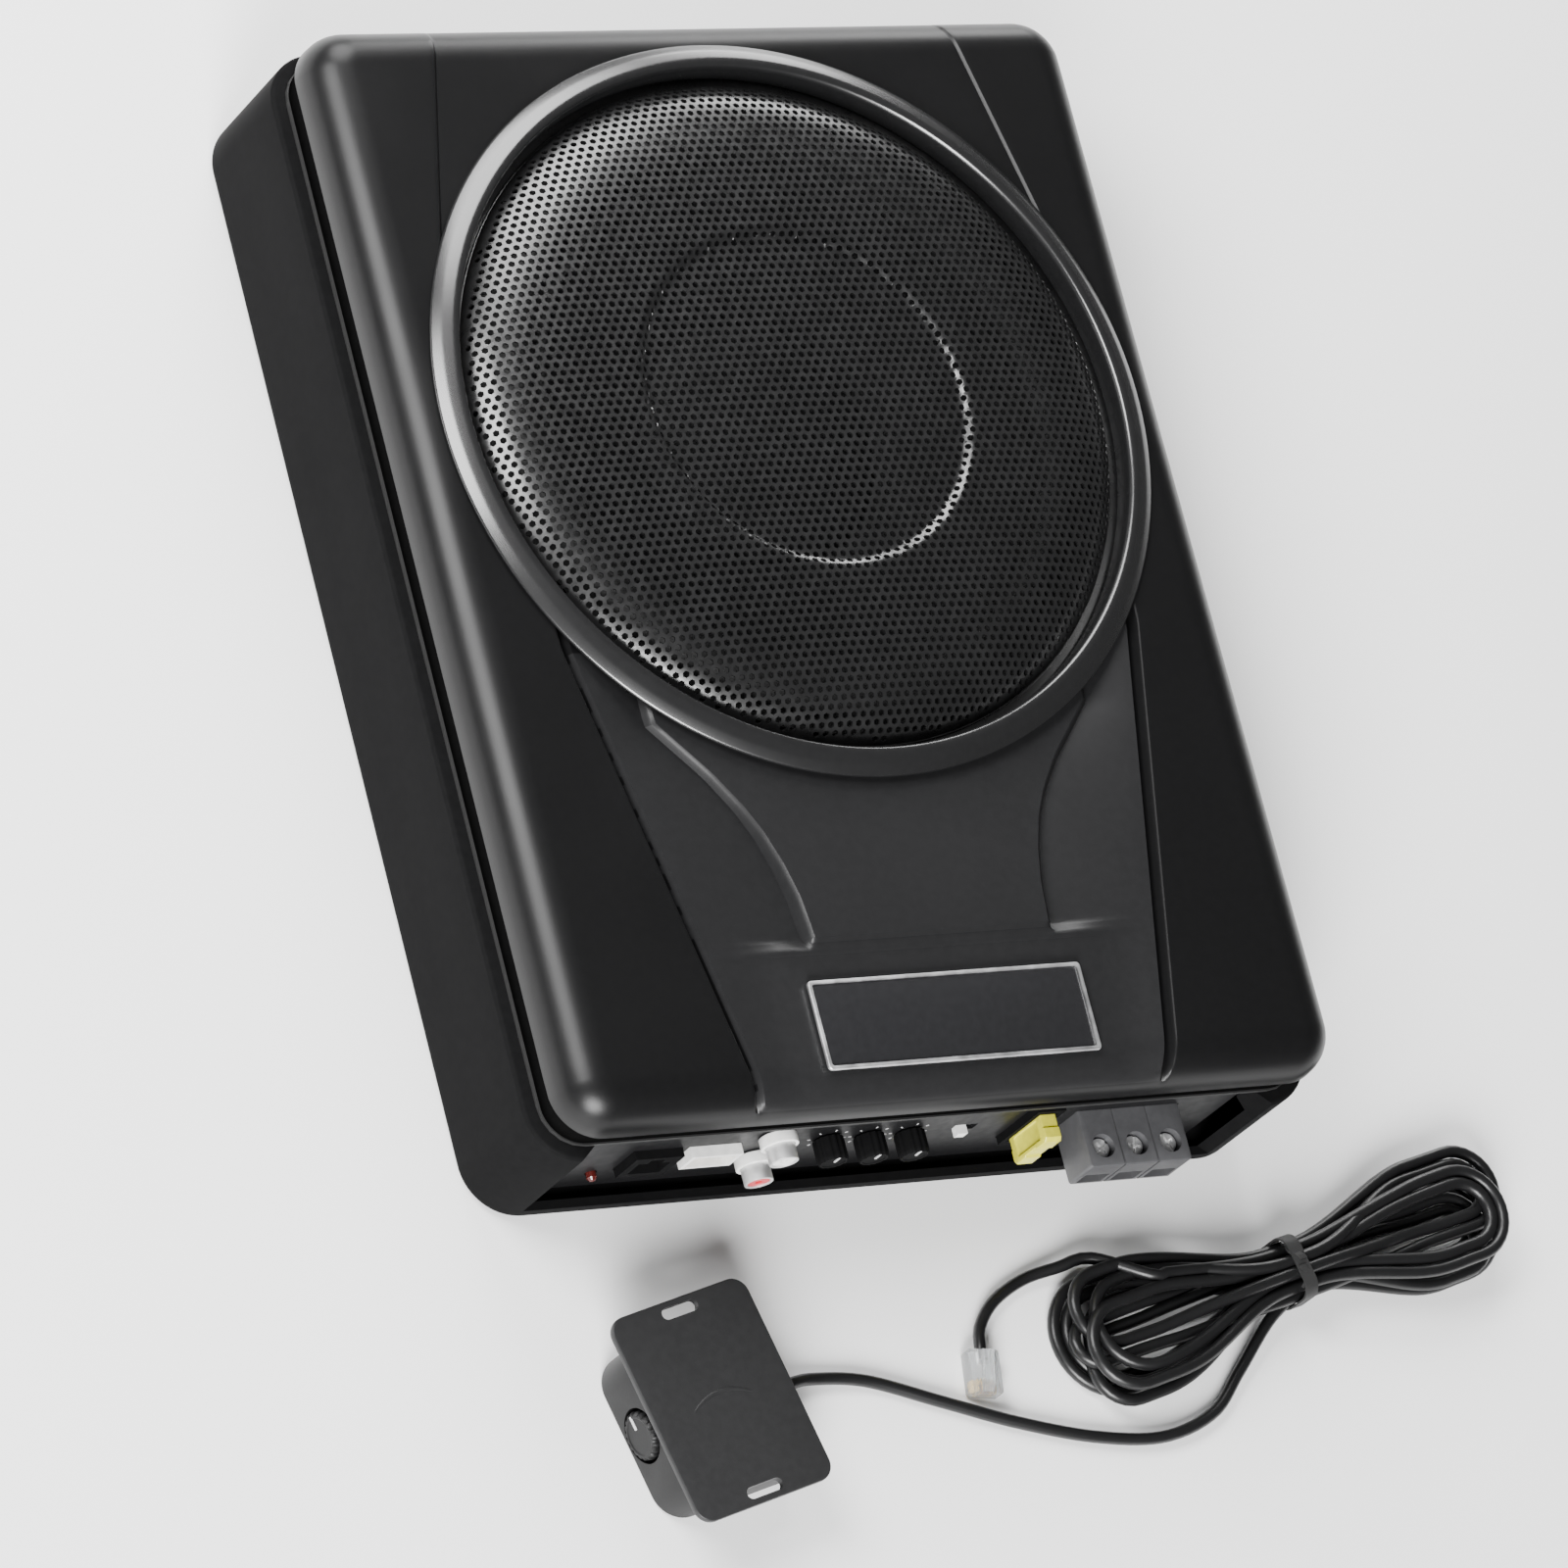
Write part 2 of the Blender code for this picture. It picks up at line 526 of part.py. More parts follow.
def make_sockets():
    place = (JACK_X, PANEL_FACE, JACK_Z)
    jack = block("remote_jack", (-7.5, -2.5, -6.8), (7.5, 12.0, 6.8), BLACK_ABS, place=place)
    combine(jack, block("jack_cavity", (-5.0, -6, -4.6), (5.0, 9.0, 2.9), place=place))
    combine(jack, block("jack_latch_slot", (-2.2, -6, 2.0), (2.2, 7.0, 5.2), place=place))
    place = (SOCKET_X, PANEL_FACE, SOCKET_Z)
    socket = block("high_level_socket", (-8.0, -3.0, -4.5), (8.0, 9.0, 4.5), WHITE, place=place)
    combine(socket, block("socket_cavity", (-6.8, -6, -3.3), (6.8, 6.0, 3.3), place=place))
    lamp = [(0, 2.6), (0.9, 2.3), (1.5, 1.4), (1.5, -2.3), (2.4, -2.3), (2.4, -6.0), (0, -6.0)]
    turned("power_led", lamp, LED_RED, steps=16, place=(LED_X, PANEL_FACE, LED_Z), axis="-Y", closed=False)


def make_fuse():
    place = (FUSE_X, PANEL_FACE, FUSE_Z)
    holder = block("fuse_holder", (-4.5, -2.2, -12.3), (4.5, 15.0, 12.3), BLACK_ABS, place=place)
    combine(holder, block("fuse_pocket", (-3.0, -6, -10.1), (3.0, 3.4, 10.1), place=place))
    for index, z in enumerate((-7.0, 7.0), start=1):
        combine(holder, block(f"blade_slot_{index}", (-0.9, 2, z - 3.1), (0.9, 12.5, z + 3.1), place=place))
    body = [(-9.5, 3.0), (-9.5, -8.5), (-8.3, -9.7), (8.3, -9.7), (9.5, -8.5), (9.5, 3.0)]
    outline = [(b, a) for a, b in body]
    fuse = prism("fuse", outline, -2.6, 2.6, YELLOW, axis="X", place=place)
    for index, z in enumerate((-7.0, 7.0), start=1):
        blade = block(f"fuse_blade_{index}", (-0.45, 1.5, z - 2.6), (0.45, 11.6, z + 2.6), place=place)
        combine(fuse, blade, "UNION")


def make_terminals():
    place = (TERMINAL_X, PANEL_FACE, TERMINAL_Z)
    body = block("terminal_block", (-TERMINAL_HALF, -16.5, -7.0), (TERMINAL_HALF, 9.0, 7.0), GREY,
                 place=place)
    for index in range(3):
        x = TERMINAL_PITCH * (index - 1)
        entry = block(f"wire_entry_{index + 1}", (x - 4.0, -20, -5.6), (x + 4.0, -2.0, 0.2), place=place)
        combine(body, entry)
        well = turned(f"screw_well_{index + 1}", [(0, 12), (3.5, 12), (3.5, 2.2), (2.2, 2.2), (2.2, -2),
                                                  (0, -2)],
                      place=(TERMINAL_X + x, PANEL_FACE - 10.5, TERMINAL_Z), steps=20, closed=False)
        combine(body, well)
        screw = [(0, 5.2), (2.4, 5.2), (3.0, 4.7), (3.0, 2.6), (1.8, 2.6), (1.8, -2.4), (0, -2.4)]
        turned(f"terminal_screw_{index + 1}", screw, STEEL, steps=20, closed=False,
               place=(TERMINAL_X + x, PANEL_FACE - 10.5, TERMINAL_Z))


def make_amplifier():
    block("amp_board", (-100, -155, 6.0), (100, -76, 7.6), BOARD)
    base, fin_top, fin_width, pitch = 12.0, 34.0, 2.0, 6.0
    first_fin, fins, edge = -98.0, 8, -52.0
    outline = [(first_fin, 8.0), (edge, 8.0), (edge, base)]
    for index in reversed(range(fins)):
        left = first_fin + pitch * index
        outline += [(left + fin_width, base), (left + fin_width, fin_top), (left, fin_top)]
        if index:
            outline.append((left, base))
    prism("heat_sink", outline, -140.0, -84.0, ALUMINIUM, axis="Y")
    coil = arc(14.0, 17.5, 8.5, 0, 360, 10)[:-1]
    turned("choke_coil", coil, COPPER, steps=20, place=(20, -112, 0))
    can = [(0, 33.5), (8.4, 33.5), (9.0, 33.0), (9.0, 8.0), (0, 8.0)]
    for index, x in enumerate((58.0, 80.0), start=1):
        turned(f"capacitor_{index}", can, CAN_SLEEVE, steps=28, place=(x, -112, 0), closed=False)


# ---------------------------------------------------------------- wired remote

def remote_root():
    root = bpy.data.objects.new("remote_frame", None)
    root.location = (REMOTE_CENTRE[0] * MM, REMOTE_CENTRE[1] * MM, 0)
    root.rotation_euler.z = REMOTE_YAW
    bpy.context.collection.objects.link(root)
    return root


def make_remote():
    """The knob looks along local -X, the cord leaves along local +X."""
    root = remote_root()
    half_depth = REMOTE_DEPTH / 2
    half_width = REMOTE_WIDTH / 2
    front = arc(-half_depth + 9, -half_width + 9, 9, 180, 270, 5)
    rear = arc(half_depth - 3, -half_width + 3, 3, 270, 360, 3)
    lower = front + rear
    outline = lower + [(x, -y) for x, y in reversed(lower)]
    housing = prism("remote_housing", outline, 0.0, REMOTE_HEIGHT, BLACK_ABS)
    knob_z = REMOTE_HEIGHT / 2
    pocket = [(0, half_depth + 4), (7.8, half_depth + 4), (7.8, half_depth - 4.5), (1.9, half_depth - 4.5),
              (1.9, half_depth - 16), (0, half_depth - 16)]
    cutter = turned("knob_pocket", pocket, place=(0, 0, knob_z), axis="-X", steps=28, closed=False)
    combine(housing, cutter)
    boss = [(0, -half_depth - 3.5), (2.6, -half_depth - 3.5), (3.2, -half_depth + 2), (0, -half_depth + 2)]
    exit_boss = turned("cord_boss", boss, place=(0, 0, 6.0), axis="-X", steps=20, closed=False)
    combine(housing, exit_boss, "UNION")
    plate_outline = rounded_rectangle(PLATE_DEPTH / 2, PLATE_WIDTH / 2, 5.0, 5)
    low = REMOTE_HEIGHT + GAP
    plate = prism("remote_mount_plate", plate_outline, low, low + PLATE_THICKNESS, BLACK_ABS)
    items = [housing, cutter, exit_boss, plate]
    for index, side in enumerate((-1, 1), start=1):
        slot = rounded_rectangle(6.0, 1.7, 1.69, 4)
        tool = prism(f"plate_slot_{index}", slot, low - 2, low + 5, place=(0, side * 27.0, 0))
        combine(plate, tool)
        items.append(tool)
    knob = [(0, half_depth + 1.0), (6.0, half_depth + 1.0), (REMOTE_KNOB_RADIUS, half_depth),
            (REMOTE_KNOB_RADIUS, half_depth - 4.0), (1.6, half_depth - 4.0), (1.6, half_depth - 15),
            (0, half_depth - 15)]
    items.append(turned("remote_knob", knob, BLACK_ABS, steps=28, place=(0, 0, knob_z), axis="-X",
                        closed=False))
    for item in items:
        item.parent = root


def remote_point(x, y, z):
    cos_yaw, sin_yaw = math.cos(REMOTE_YAW), math.sin(REMOTE_YAW)
    return (REMOTE_CENTRE[0] + cos_yaw * x - sin_yaw * y, REMOTE_CENTRE[1] + sin_yaw * x + cos_yaw * y, z)


# ---------------------------------------------------------------- cord

def smooth_route(points, spacing):
    """Evenly spaced points on a smooth curve through the given route points."""
    knots = [Vector(p) for p in points]
    knots = [knots[0] * 2 - knots[1]] + knots + [knots[-1] * 2 - knots[-2]]
    dense = []
    for a, b, c, d in zip(knots, knots[1:], knots[2:], knots[3:]):
        for step in range(24):
            t = step / 24
            dense.append(0.5 * (2 * b + (c - a) * t + (2 * a - 5 * b + 4 * c - d) * t ** 2
                                + (3 * b - a - 3 * c + d) * t ** 3))
    dense.append(knots[-2])
    kept = [dense[0]]
    travelled = 0.0
    for before, after in zip(dense, dense[1:]):
        travelled += (after - before).length
        if travelled >= spacing:
            kept.append(after)
            travelled = 0.0
    if (kept[-1] - dense[-1]).length < 0.5 * spacing:
        kept.pop()
    kept.append(dense[-1])
    return kept


def cord_tube(name, points):
    curve = bpy.data.curves.new(name, "CURVE")
    curve.dimensions = "3D"
    curve.bevel_depth = CORD_DIAMETER / 2 * MM
    curve.bevel_resolution = 2
    curve.render_resolution_u = 0
    curve.use_fill_caps = True
    route = smooth_route(points, 2.2 * CORD_DIAMETER)
    spline = curve.splines.new("POLY")
    spline.points.add(len(route) - 1)
    for point, place in zip(spline.points, route):
        point.co = (*(place * MM), 1.0)
    curve.materials.append(CORD_PVC)
    item = bpy.data.objects.new(name, curve)
    bpy.context.collection.objects.link(item)
    return item


def hank_point(along, across, z):
    cos_yaw, sin_yaw = math.cos(HANK_YAW), math.sin(HANK_YAW)
    return (HANK_CENTRE[0] + cos_yaw * along - sin_yaw * across,
            HANK_CENTRE[1] + sin_yaw * along + cos_yaw * across, z)


def hank_half_width(along):
    """Half width of the tied hank: narrow at the tie, fanned out, round at both ends."""
    fan = HANK_LEFT_FAN if along < 0 else HANK_RIGHT_FAN
    reach = abs(along) / HANK_HALF_LENGTH
    open_part = min(max((reach - 0.06) / 0.62, 0.0), 1.0)
    width = HANK_WAIST + (fan - HANK_WAIST) * (open_part * open_part * (3 - 2 * open_part))
    end_part = max((reach - 0.78) / 0.22, 0.0)
    return width * math.sqrt(max(1 - end_part ** 2, 0.0))


def make_hank():
    stations = [-1.0, -0.985, -0.95, -0.9, -0.84, -0.76, -0.66, -0.54, -0.42, -0.3, -0.18, -0.06,
                0.06, 0.18, 0.3, 0.42, 0.54, 0.66, 0.76, 0.84, 0.9, 0.95, 0.985, 1.0]
    upper = [(s * HANK_HALF_LENGTH, hank_half_width(s * HANK_HALF_LENGTH)) for s in stations]
    lower = [(a, -b) for a, b in reversed(upper[1:-1])]
    outline = [hank_point(a, b, 0)[:2] for a, b in upper + lower]
    prism("cord_hank", outline, HANK_BOTTOM, HANK_TOP, CORD_PVC)
    wide, tall = HANK_WAIST + 0.4, HANK_TOP + 0.3
    tie = prism("cord_tie", [(-wide - 1, 0.1), (wide + 1, 0.1), (wide + 1, tall + 0.9),
                             (-wide - 1, tall + 0.9)],
                -2.5, 2.5, RUBBER, axis="X")
    core = prism("tie_core", [(-wide, 1.2), (wide, 1.2), (wide, tall), (-wide, tall)], -5, 5, axis="X")
    combine(tie, core)
    for item in (tie, core):
        item.location = Vector((*HANK_CENTRE, 0)) * MM
        item.rotation_euler.z = HANK_YAW


def make_cords():
    half = REMOTE_DEPTH / 2 + 3.5 + GAP
    lead = [remote_point(half, 0, 6.0), remote_point(half + 7, 0, 5.2),
            remote_point(half + 16, -0.5, CORD_Z + 0.9),
            (-16.0, -222.0, CORD_Z), (6.0, -230.0, CORD_Z), (28.0, -238.0, CORD_Z), (52.0, -244.5, CORD_Z),
            (74.0, -246.5, CORD_Z), (92.0, -241.0, CORD_Z), (103.5, -230.0, CORD_Z + 0.6),
            hank_point(-10.5, -10.4, 5.0)]
    cord_tube("remote_cord", lead)
    tail = [hank_point(-58.0, 23.2, 6.5), (53.0, -195.0, CORD_Z + 2.0), (42.0, -197.0, CORD_Z),
            (31.0, -202.5, CORD_Z), (24.5, -209.5, CORD_Z), (22.0, -216.0, CORD_Z + 1.4)]
    cord_tube("cord_tail", tail)


def make_modular_plug():
    """Clear six-position plug with its latch tongue, lying latch up beside the hank."""
    outline = [(0.0, 0.4), (13.0, 0.4), (13.0, 5.6), (10.5, 6.8), (1.0, 8.4), (0.6, 7.8), (7.0, 6.2),
               (7.0, 5.6), (0.0, 5.6)]
    behind = [(-a, b) for a, b in outline]
    plug = prism("modular_plug", behind, -PLUG_HALF_WIDTH, PLUG_HALF_WIDTH, CLEAR, axis="X")
    plug.location = Vector(PLUG_PLACE) * MM
    plug.rotation_euler.z = PLUG_YAW


def main():
    make_tray()
    make_gasket()
    make_cover()
    make_badge()
    make_trim_ring()
    make_grille()
    make_basket()
    make_cone_assembly()
    make_motor()
    make_driver_screws()
    make_cover_screws()
    make_panel()
    make_knobs()
    make_phase_switch()
    make_rca()
    make_sockets()
    make_fuse()
    make_terminals()
    make_amplifier()
    make_remote()
    make_hank()
    make_cords()
    make_modular_plug()


clear_scene()
main()
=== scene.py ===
"""Looks of the powered under-seat subwoofer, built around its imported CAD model.

Lengths are in metres; a length written as a number times MM is in millimetres.
"""
import json
from math import cos, hypot, pi, radians, sin, sqrt

import bmesh
import bpy
import numpy as np
from mathutils import Matrix, Vector


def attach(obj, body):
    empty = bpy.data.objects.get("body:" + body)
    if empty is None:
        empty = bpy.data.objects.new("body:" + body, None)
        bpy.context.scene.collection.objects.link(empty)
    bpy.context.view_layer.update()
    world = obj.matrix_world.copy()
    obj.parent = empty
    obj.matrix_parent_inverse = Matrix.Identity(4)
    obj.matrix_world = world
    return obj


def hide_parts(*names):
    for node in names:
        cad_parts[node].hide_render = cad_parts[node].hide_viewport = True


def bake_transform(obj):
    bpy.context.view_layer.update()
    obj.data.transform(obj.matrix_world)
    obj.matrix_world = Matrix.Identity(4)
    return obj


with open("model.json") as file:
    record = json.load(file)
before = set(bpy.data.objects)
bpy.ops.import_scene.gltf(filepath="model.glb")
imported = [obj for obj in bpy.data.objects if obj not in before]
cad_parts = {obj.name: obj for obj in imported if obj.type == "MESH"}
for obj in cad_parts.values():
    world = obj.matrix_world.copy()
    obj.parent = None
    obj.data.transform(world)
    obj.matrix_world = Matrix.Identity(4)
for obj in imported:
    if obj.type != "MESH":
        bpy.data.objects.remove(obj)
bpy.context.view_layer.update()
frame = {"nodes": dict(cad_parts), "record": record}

MM = 0.001
CABINET = "cabinet"
REMOTE = "remote"

# Camera: where the product view looks from
VIEW_AZIMUTH = radians(-57.99)
VIEW_ELEVATION = radians(53.6)
VIEW_ROLL = radians(48.7)
VIEW_DISTANCE = 2.762
VIEW_TARGET = Vector((-0.0134, -0.0575, 0.035))
LENS = 228.4

# Cabinet sizes shared by the shells
HALF_WIDTH = 125.0
HALF_LENGTH = 166.0
CORNER_RADIUS = 16.0
INNER_X = HALF_WIDTH - CORNER_RADIUS
INNER_Y = HALF_LENGTH - CORNER_RADIUS
TRAY_TOP = 44.0
RING_Y = 41.5
PANEL_FACE = -160.0

# Places on the connector panel
JACK_X = -79.0
SOCKET_X = -61.0
RCA_X = -44.0
KNOB_X = (-25.0, -12.0, 1.0)
KNOB_Z = 29.0
KNOB_SWEEP = 280
FUSE_X = 40.0
FUSE_Z = 30.0
TERMINAL_X = 69.8
TERMINAL_Z = 27.0
TERMINAL_SCREW_Y = -10.5
TERMINAL_PITCH = 11.0
TERMINAL_HALF = 16.6

# Cover, badge and the four screws underneath
CORNER_SIGNS = ((1, 1), (-1, 1), (-1, -1), (1, -1))
BADGE_Y = -141.5
BADGE_BASE = 68.0
COVER_SCREW_X = 105.0
COVER_SCREW_Y = 146.0
COVER_TOP = 69.0
COVER_WALL = 2.0
SKIRT_TOP = 54.6
RING_HOLE = 108.2
MOUTH_Y = -163.0

# Remote and its cord
CORD_DIAMETER = 3.6
CORD_Z = CORD_DIAMETER / 2 + 0.3
HANK_CENTRE = (124.5, -204.0)
HANK_YAW = radians(12.5)
REMOTE_CENTRE = (-73.0, -229.0)
REMOTE_YAW = radians(13.0)
REMOTE_DEPTH = 42.0
REMOTE_WIDTH = 48.0
REMOTE_HEIGHT = 18.7
PLUG_PLACE = (21.6, -217.0)
PLUG_YAW = radians(-8)


# ---- camera, floor and light

def camera_axes():
    sin_a, cos_a = sin(VIEW_AZIMUTH), cos(VIEW_AZIMUTH)
    sin_e, cos_e = sin(VIEW_ELEVATION), cos(VIEW_ELEVATION)
    back = Vector((sin_a * cos_e, -cos_a * cos_e, sin_e))
    level = Vector((cos_a, sin_a, 0))
    rise = back.cross(level)
    right = level * cos(VIEW_ROLL) + rise * sin(VIEW_ROLL)
    up = back.cross(right)
    return right, up, back


def new_object(name, data):
    made = bpy.data.objects.new(name, data)
    bpy.context.collection.objects.link(made)
    return made


def make_camera():
    right, up, back = camera_axes()
    data = bpy.data.cameras.new("product_camera")
    data.sensor_width = 36.0
    data.lens = LENS
    data.clip_end = 20.0
    camera = new_object("product_camera", data)
    place = VIEW_TARGET + back * VIEW_DISTANCE
    camera.matrix_world = Matrix((
        (right.x, up.x, back.x, place.x), (right.y, up.y, back.y, place.y),
        (right.z, up.z, back.z, place.z), (0, 0, 0, 1)))
    bpy.context.scene.camera = camera


def area_light(name, direction, distance, size, power):
    data = bpy.data.lights.new(name, "AREA")
    data.shape = "DISK"
    data.size = size
    data.energy = power
    lamp = new_object(name, data)
    aim = Vector((0, 0, 0.03))
    lamp.location = aim + Vector(direction).normalized() * distance
    lamp.rotation_euler = (aim - lamp.location).to_track_quat("-Z", "Y").to_euler()


def make_stage():
    bm = bmesh.new()
    bmesh.ops.create_grid(bm, x_segments=1, y_segments=1, size=4.0)
    mesh = bpy.data.meshes.new("floor")
    bm.to_mesh(mesh)
    bm.free()
    floor = new_object("floor", mesh)
    floor.location.z = -0.0003
    mat, _ = principled("floor_paper", (0.93, 0.93, 0.93), 0.6)
    mesh.materials.append(mat)
    world = bpy.data.worlds.new("studio")
    world.use_nodes = True
    set_inputs(world.node_tree.nodes["Background"], Color=(1, 1, 1, 1), Strength=0.14)
    bpy.context.scene.world = world
    area_light("back_softbox", (-0.02, 0.84, 0.56), 1.3, 0.9, 26)
    area_light("left_softbox", (-0.64, 0.31, 0.7), 1.3, 0.75, 30)
    area_light("rear_softbox", (0.5, 0.85, 0.19), 1.4, 0.45, 6)
    area_light("floor_wash", (-0.45, -0.8, 0.5), 2.4, 1.2, 160)


# ---- materials

def set_inputs(node, **values):
    """Socket names are written with underscores for spaces."""
    for key, value in values.items():
        node.inputs[key.replace("_", " ")].default_value = value
    return node


def principled(name, colour, roughness, metallic=0.0, **more):
    mat = bpy.data.materials.new(name)
    mat.use_nodes = True
    shader = mat.node_tree.nodes["Principled BSDF"]
    set_inputs(shader, Base_Color=(*colour, 1.0), Roughness=roughness, Metallic=metallic, **more)
    return mat, shader


def noise(mat, scale, detail=2.0, stretch=(1, 1, 1)):
    """Noise over the object's own coordinates; scale counts lumps per metre."""
    nodes, links = mat.node_tree.nodes, mat.node_tree.links
    coords = nodes.new("ShaderNodeTexCoord")
    mapping = set_inputs(nodes.new("ShaderNodeMapping"), Scale=stretch)
    texture = set_inputs(nodes.new("ShaderNodeTexNoise"), Scale=scale, Detail=detail)
    links.new(coords.outputs["Object"], mapping.inputs["Vector"])
    links.new(mapping.outputs["Vector"], texture.inputs["Vector"])
    return texture.outputs["Fac"]


def vary(mat, shader, source, low, high, socket):
    """Drive a value socket between low and high from a 0..1 source."""
    ramp = mat.node_tree.nodes.new("ShaderNodeMapRange")
    set_inputs(ramp, From_Min=0.3, From_Max=0.7, To_Min=low, To_Max=high)
    mat.node_tree.links.new(source, ramp.inputs["Value"])
    mat.node_tree.links.new(ramp.outputs["Result"], shader.inputs[socket])


def tint(mat, shader, source, dark, light):
    ramp = mat.node_tree.nodes.new("ShaderNodeValToRGB")
    ramp.color_ramp.elements[0].position = 0.35
    ramp.color_ramp.elements[0].color = (*dark, 1)
    ramp.color_ramp.elements[1].position = 0.65
    ramp.color_ramp.elements[1].color = (*light, 1)
    mat.node_tree.links.new(source, ramp.inputs["Fac"])
    mat.node_tree.links.new(ramp.outputs["Color"], shader.inputs["Base Color"])


def bumpy(mat, shader, source, strength, distance):
    bump = set_inputs(mat.node_tree.nodes.new("ShaderNodeBump"), Strength=strength, Distance=distance)
    mat.node_tree.links.new(source, bump.inputs["Height"])
    mat.node_tree.links.new(bump.outputs["Normal"], shader.inputs["Normal"])


def scaled(colour, factor):
    return tuple(min(c * factor, 1.0) for c in colour)


def finished(made, colour, roughness, shades, gloss, relief, stretch=(1, 1, 1)):
    """Drift of colour and gloss and a fine bump over a plain shader.

    shades, gloss and relief hold the noise's scale and detail, then the range it covers.
    """
    mat, shader = made
    scale, detail, dark, light = shades
    tint(mat, shader, noise(mat, scale, detail, stretch), scaled(colour, dark), scaled(colour, light))
    scale, detail, below, above = gloss
    vary(mat, shader, noise(mat, scale, detail, stretch), roughness - below, roughness + above, "Roughness")
    scale, detail, strength, depth = relief
    bumpy(mat, shader, noise(mat, scale, detail, stretch), strength, depth)
    return mat


def moulded(name, colour, roughness, grain=1400.0, depth=0.00004, **more):
    """Injection-moulded plastic: fine spark texture."""
    return finished(principled(name, colour, roughness, **more), colour, roughness,
                    (420.0, 3.0, 0.93, 1.07), (25.0, 2.0, 0.02, 0.02), (grain, 2.0, 0.5, depth))


def metal(name, colour, roughness, stretch=(1, 1, 1), grain=700.0, depth=0.00002):
    """Bare or plated metal with fine directional brushing."""
    return finished(principled(name, colour, roughness, 1.0), colour, roughness,
                    (160.0, 3.0, 0.8, 1.0), (240.0, 3.0, 0.07, 0.1), (grain, 2.0, 0.4, depth), stretch)


def coated(name, colour, roughness, **more):
    """Powder-coated steel: fine orange peel."""
    return finished(principled(name, colour, roughness, **more), colour, roughness,
                    (60.0, 3.0, 0.85, 1.15), (300.0, 2.0, 0.05, 0.05), (1100.0, 1.0, 0.35, 0.00003))


def woven(name, colour, roughness, pitch):
    """Resin-dipped cloth: crossed threads as fine bump and darker tint."""
    mat, shader = principled(name, colour, roughness)
    nodes, links = mat.node_tree.nodes, mat.node_tree.links
    coords = nodes.new("ShaderNodeTexCoord")
    threads = []
    for axis in ("X", "Y"):
        wave = set_inputs(nodes.new("ShaderNodeTexWave"), Scale=1 / pitch / 6.3)
        wave.bands_direction = axis
        links.new(coords.outputs["Object"], wave.inputs["Vector"])
        threads.append(wave)
    cross = nodes.new("ShaderNodeMath")
    cross.operation = "MAXIMUM"
    links.new(threads[0].outputs["Fac"], cross.inputs[0])
    links.new(threads[1].outputs["Fac"], cross.inputs[1])
    tint(mat, shader, cross.outputs["Value"], scaled(colour, 0.6), colour)
    bumpy(mat, shader, cross.outputs["Value"], 0.6, 0.0001)
    return mat


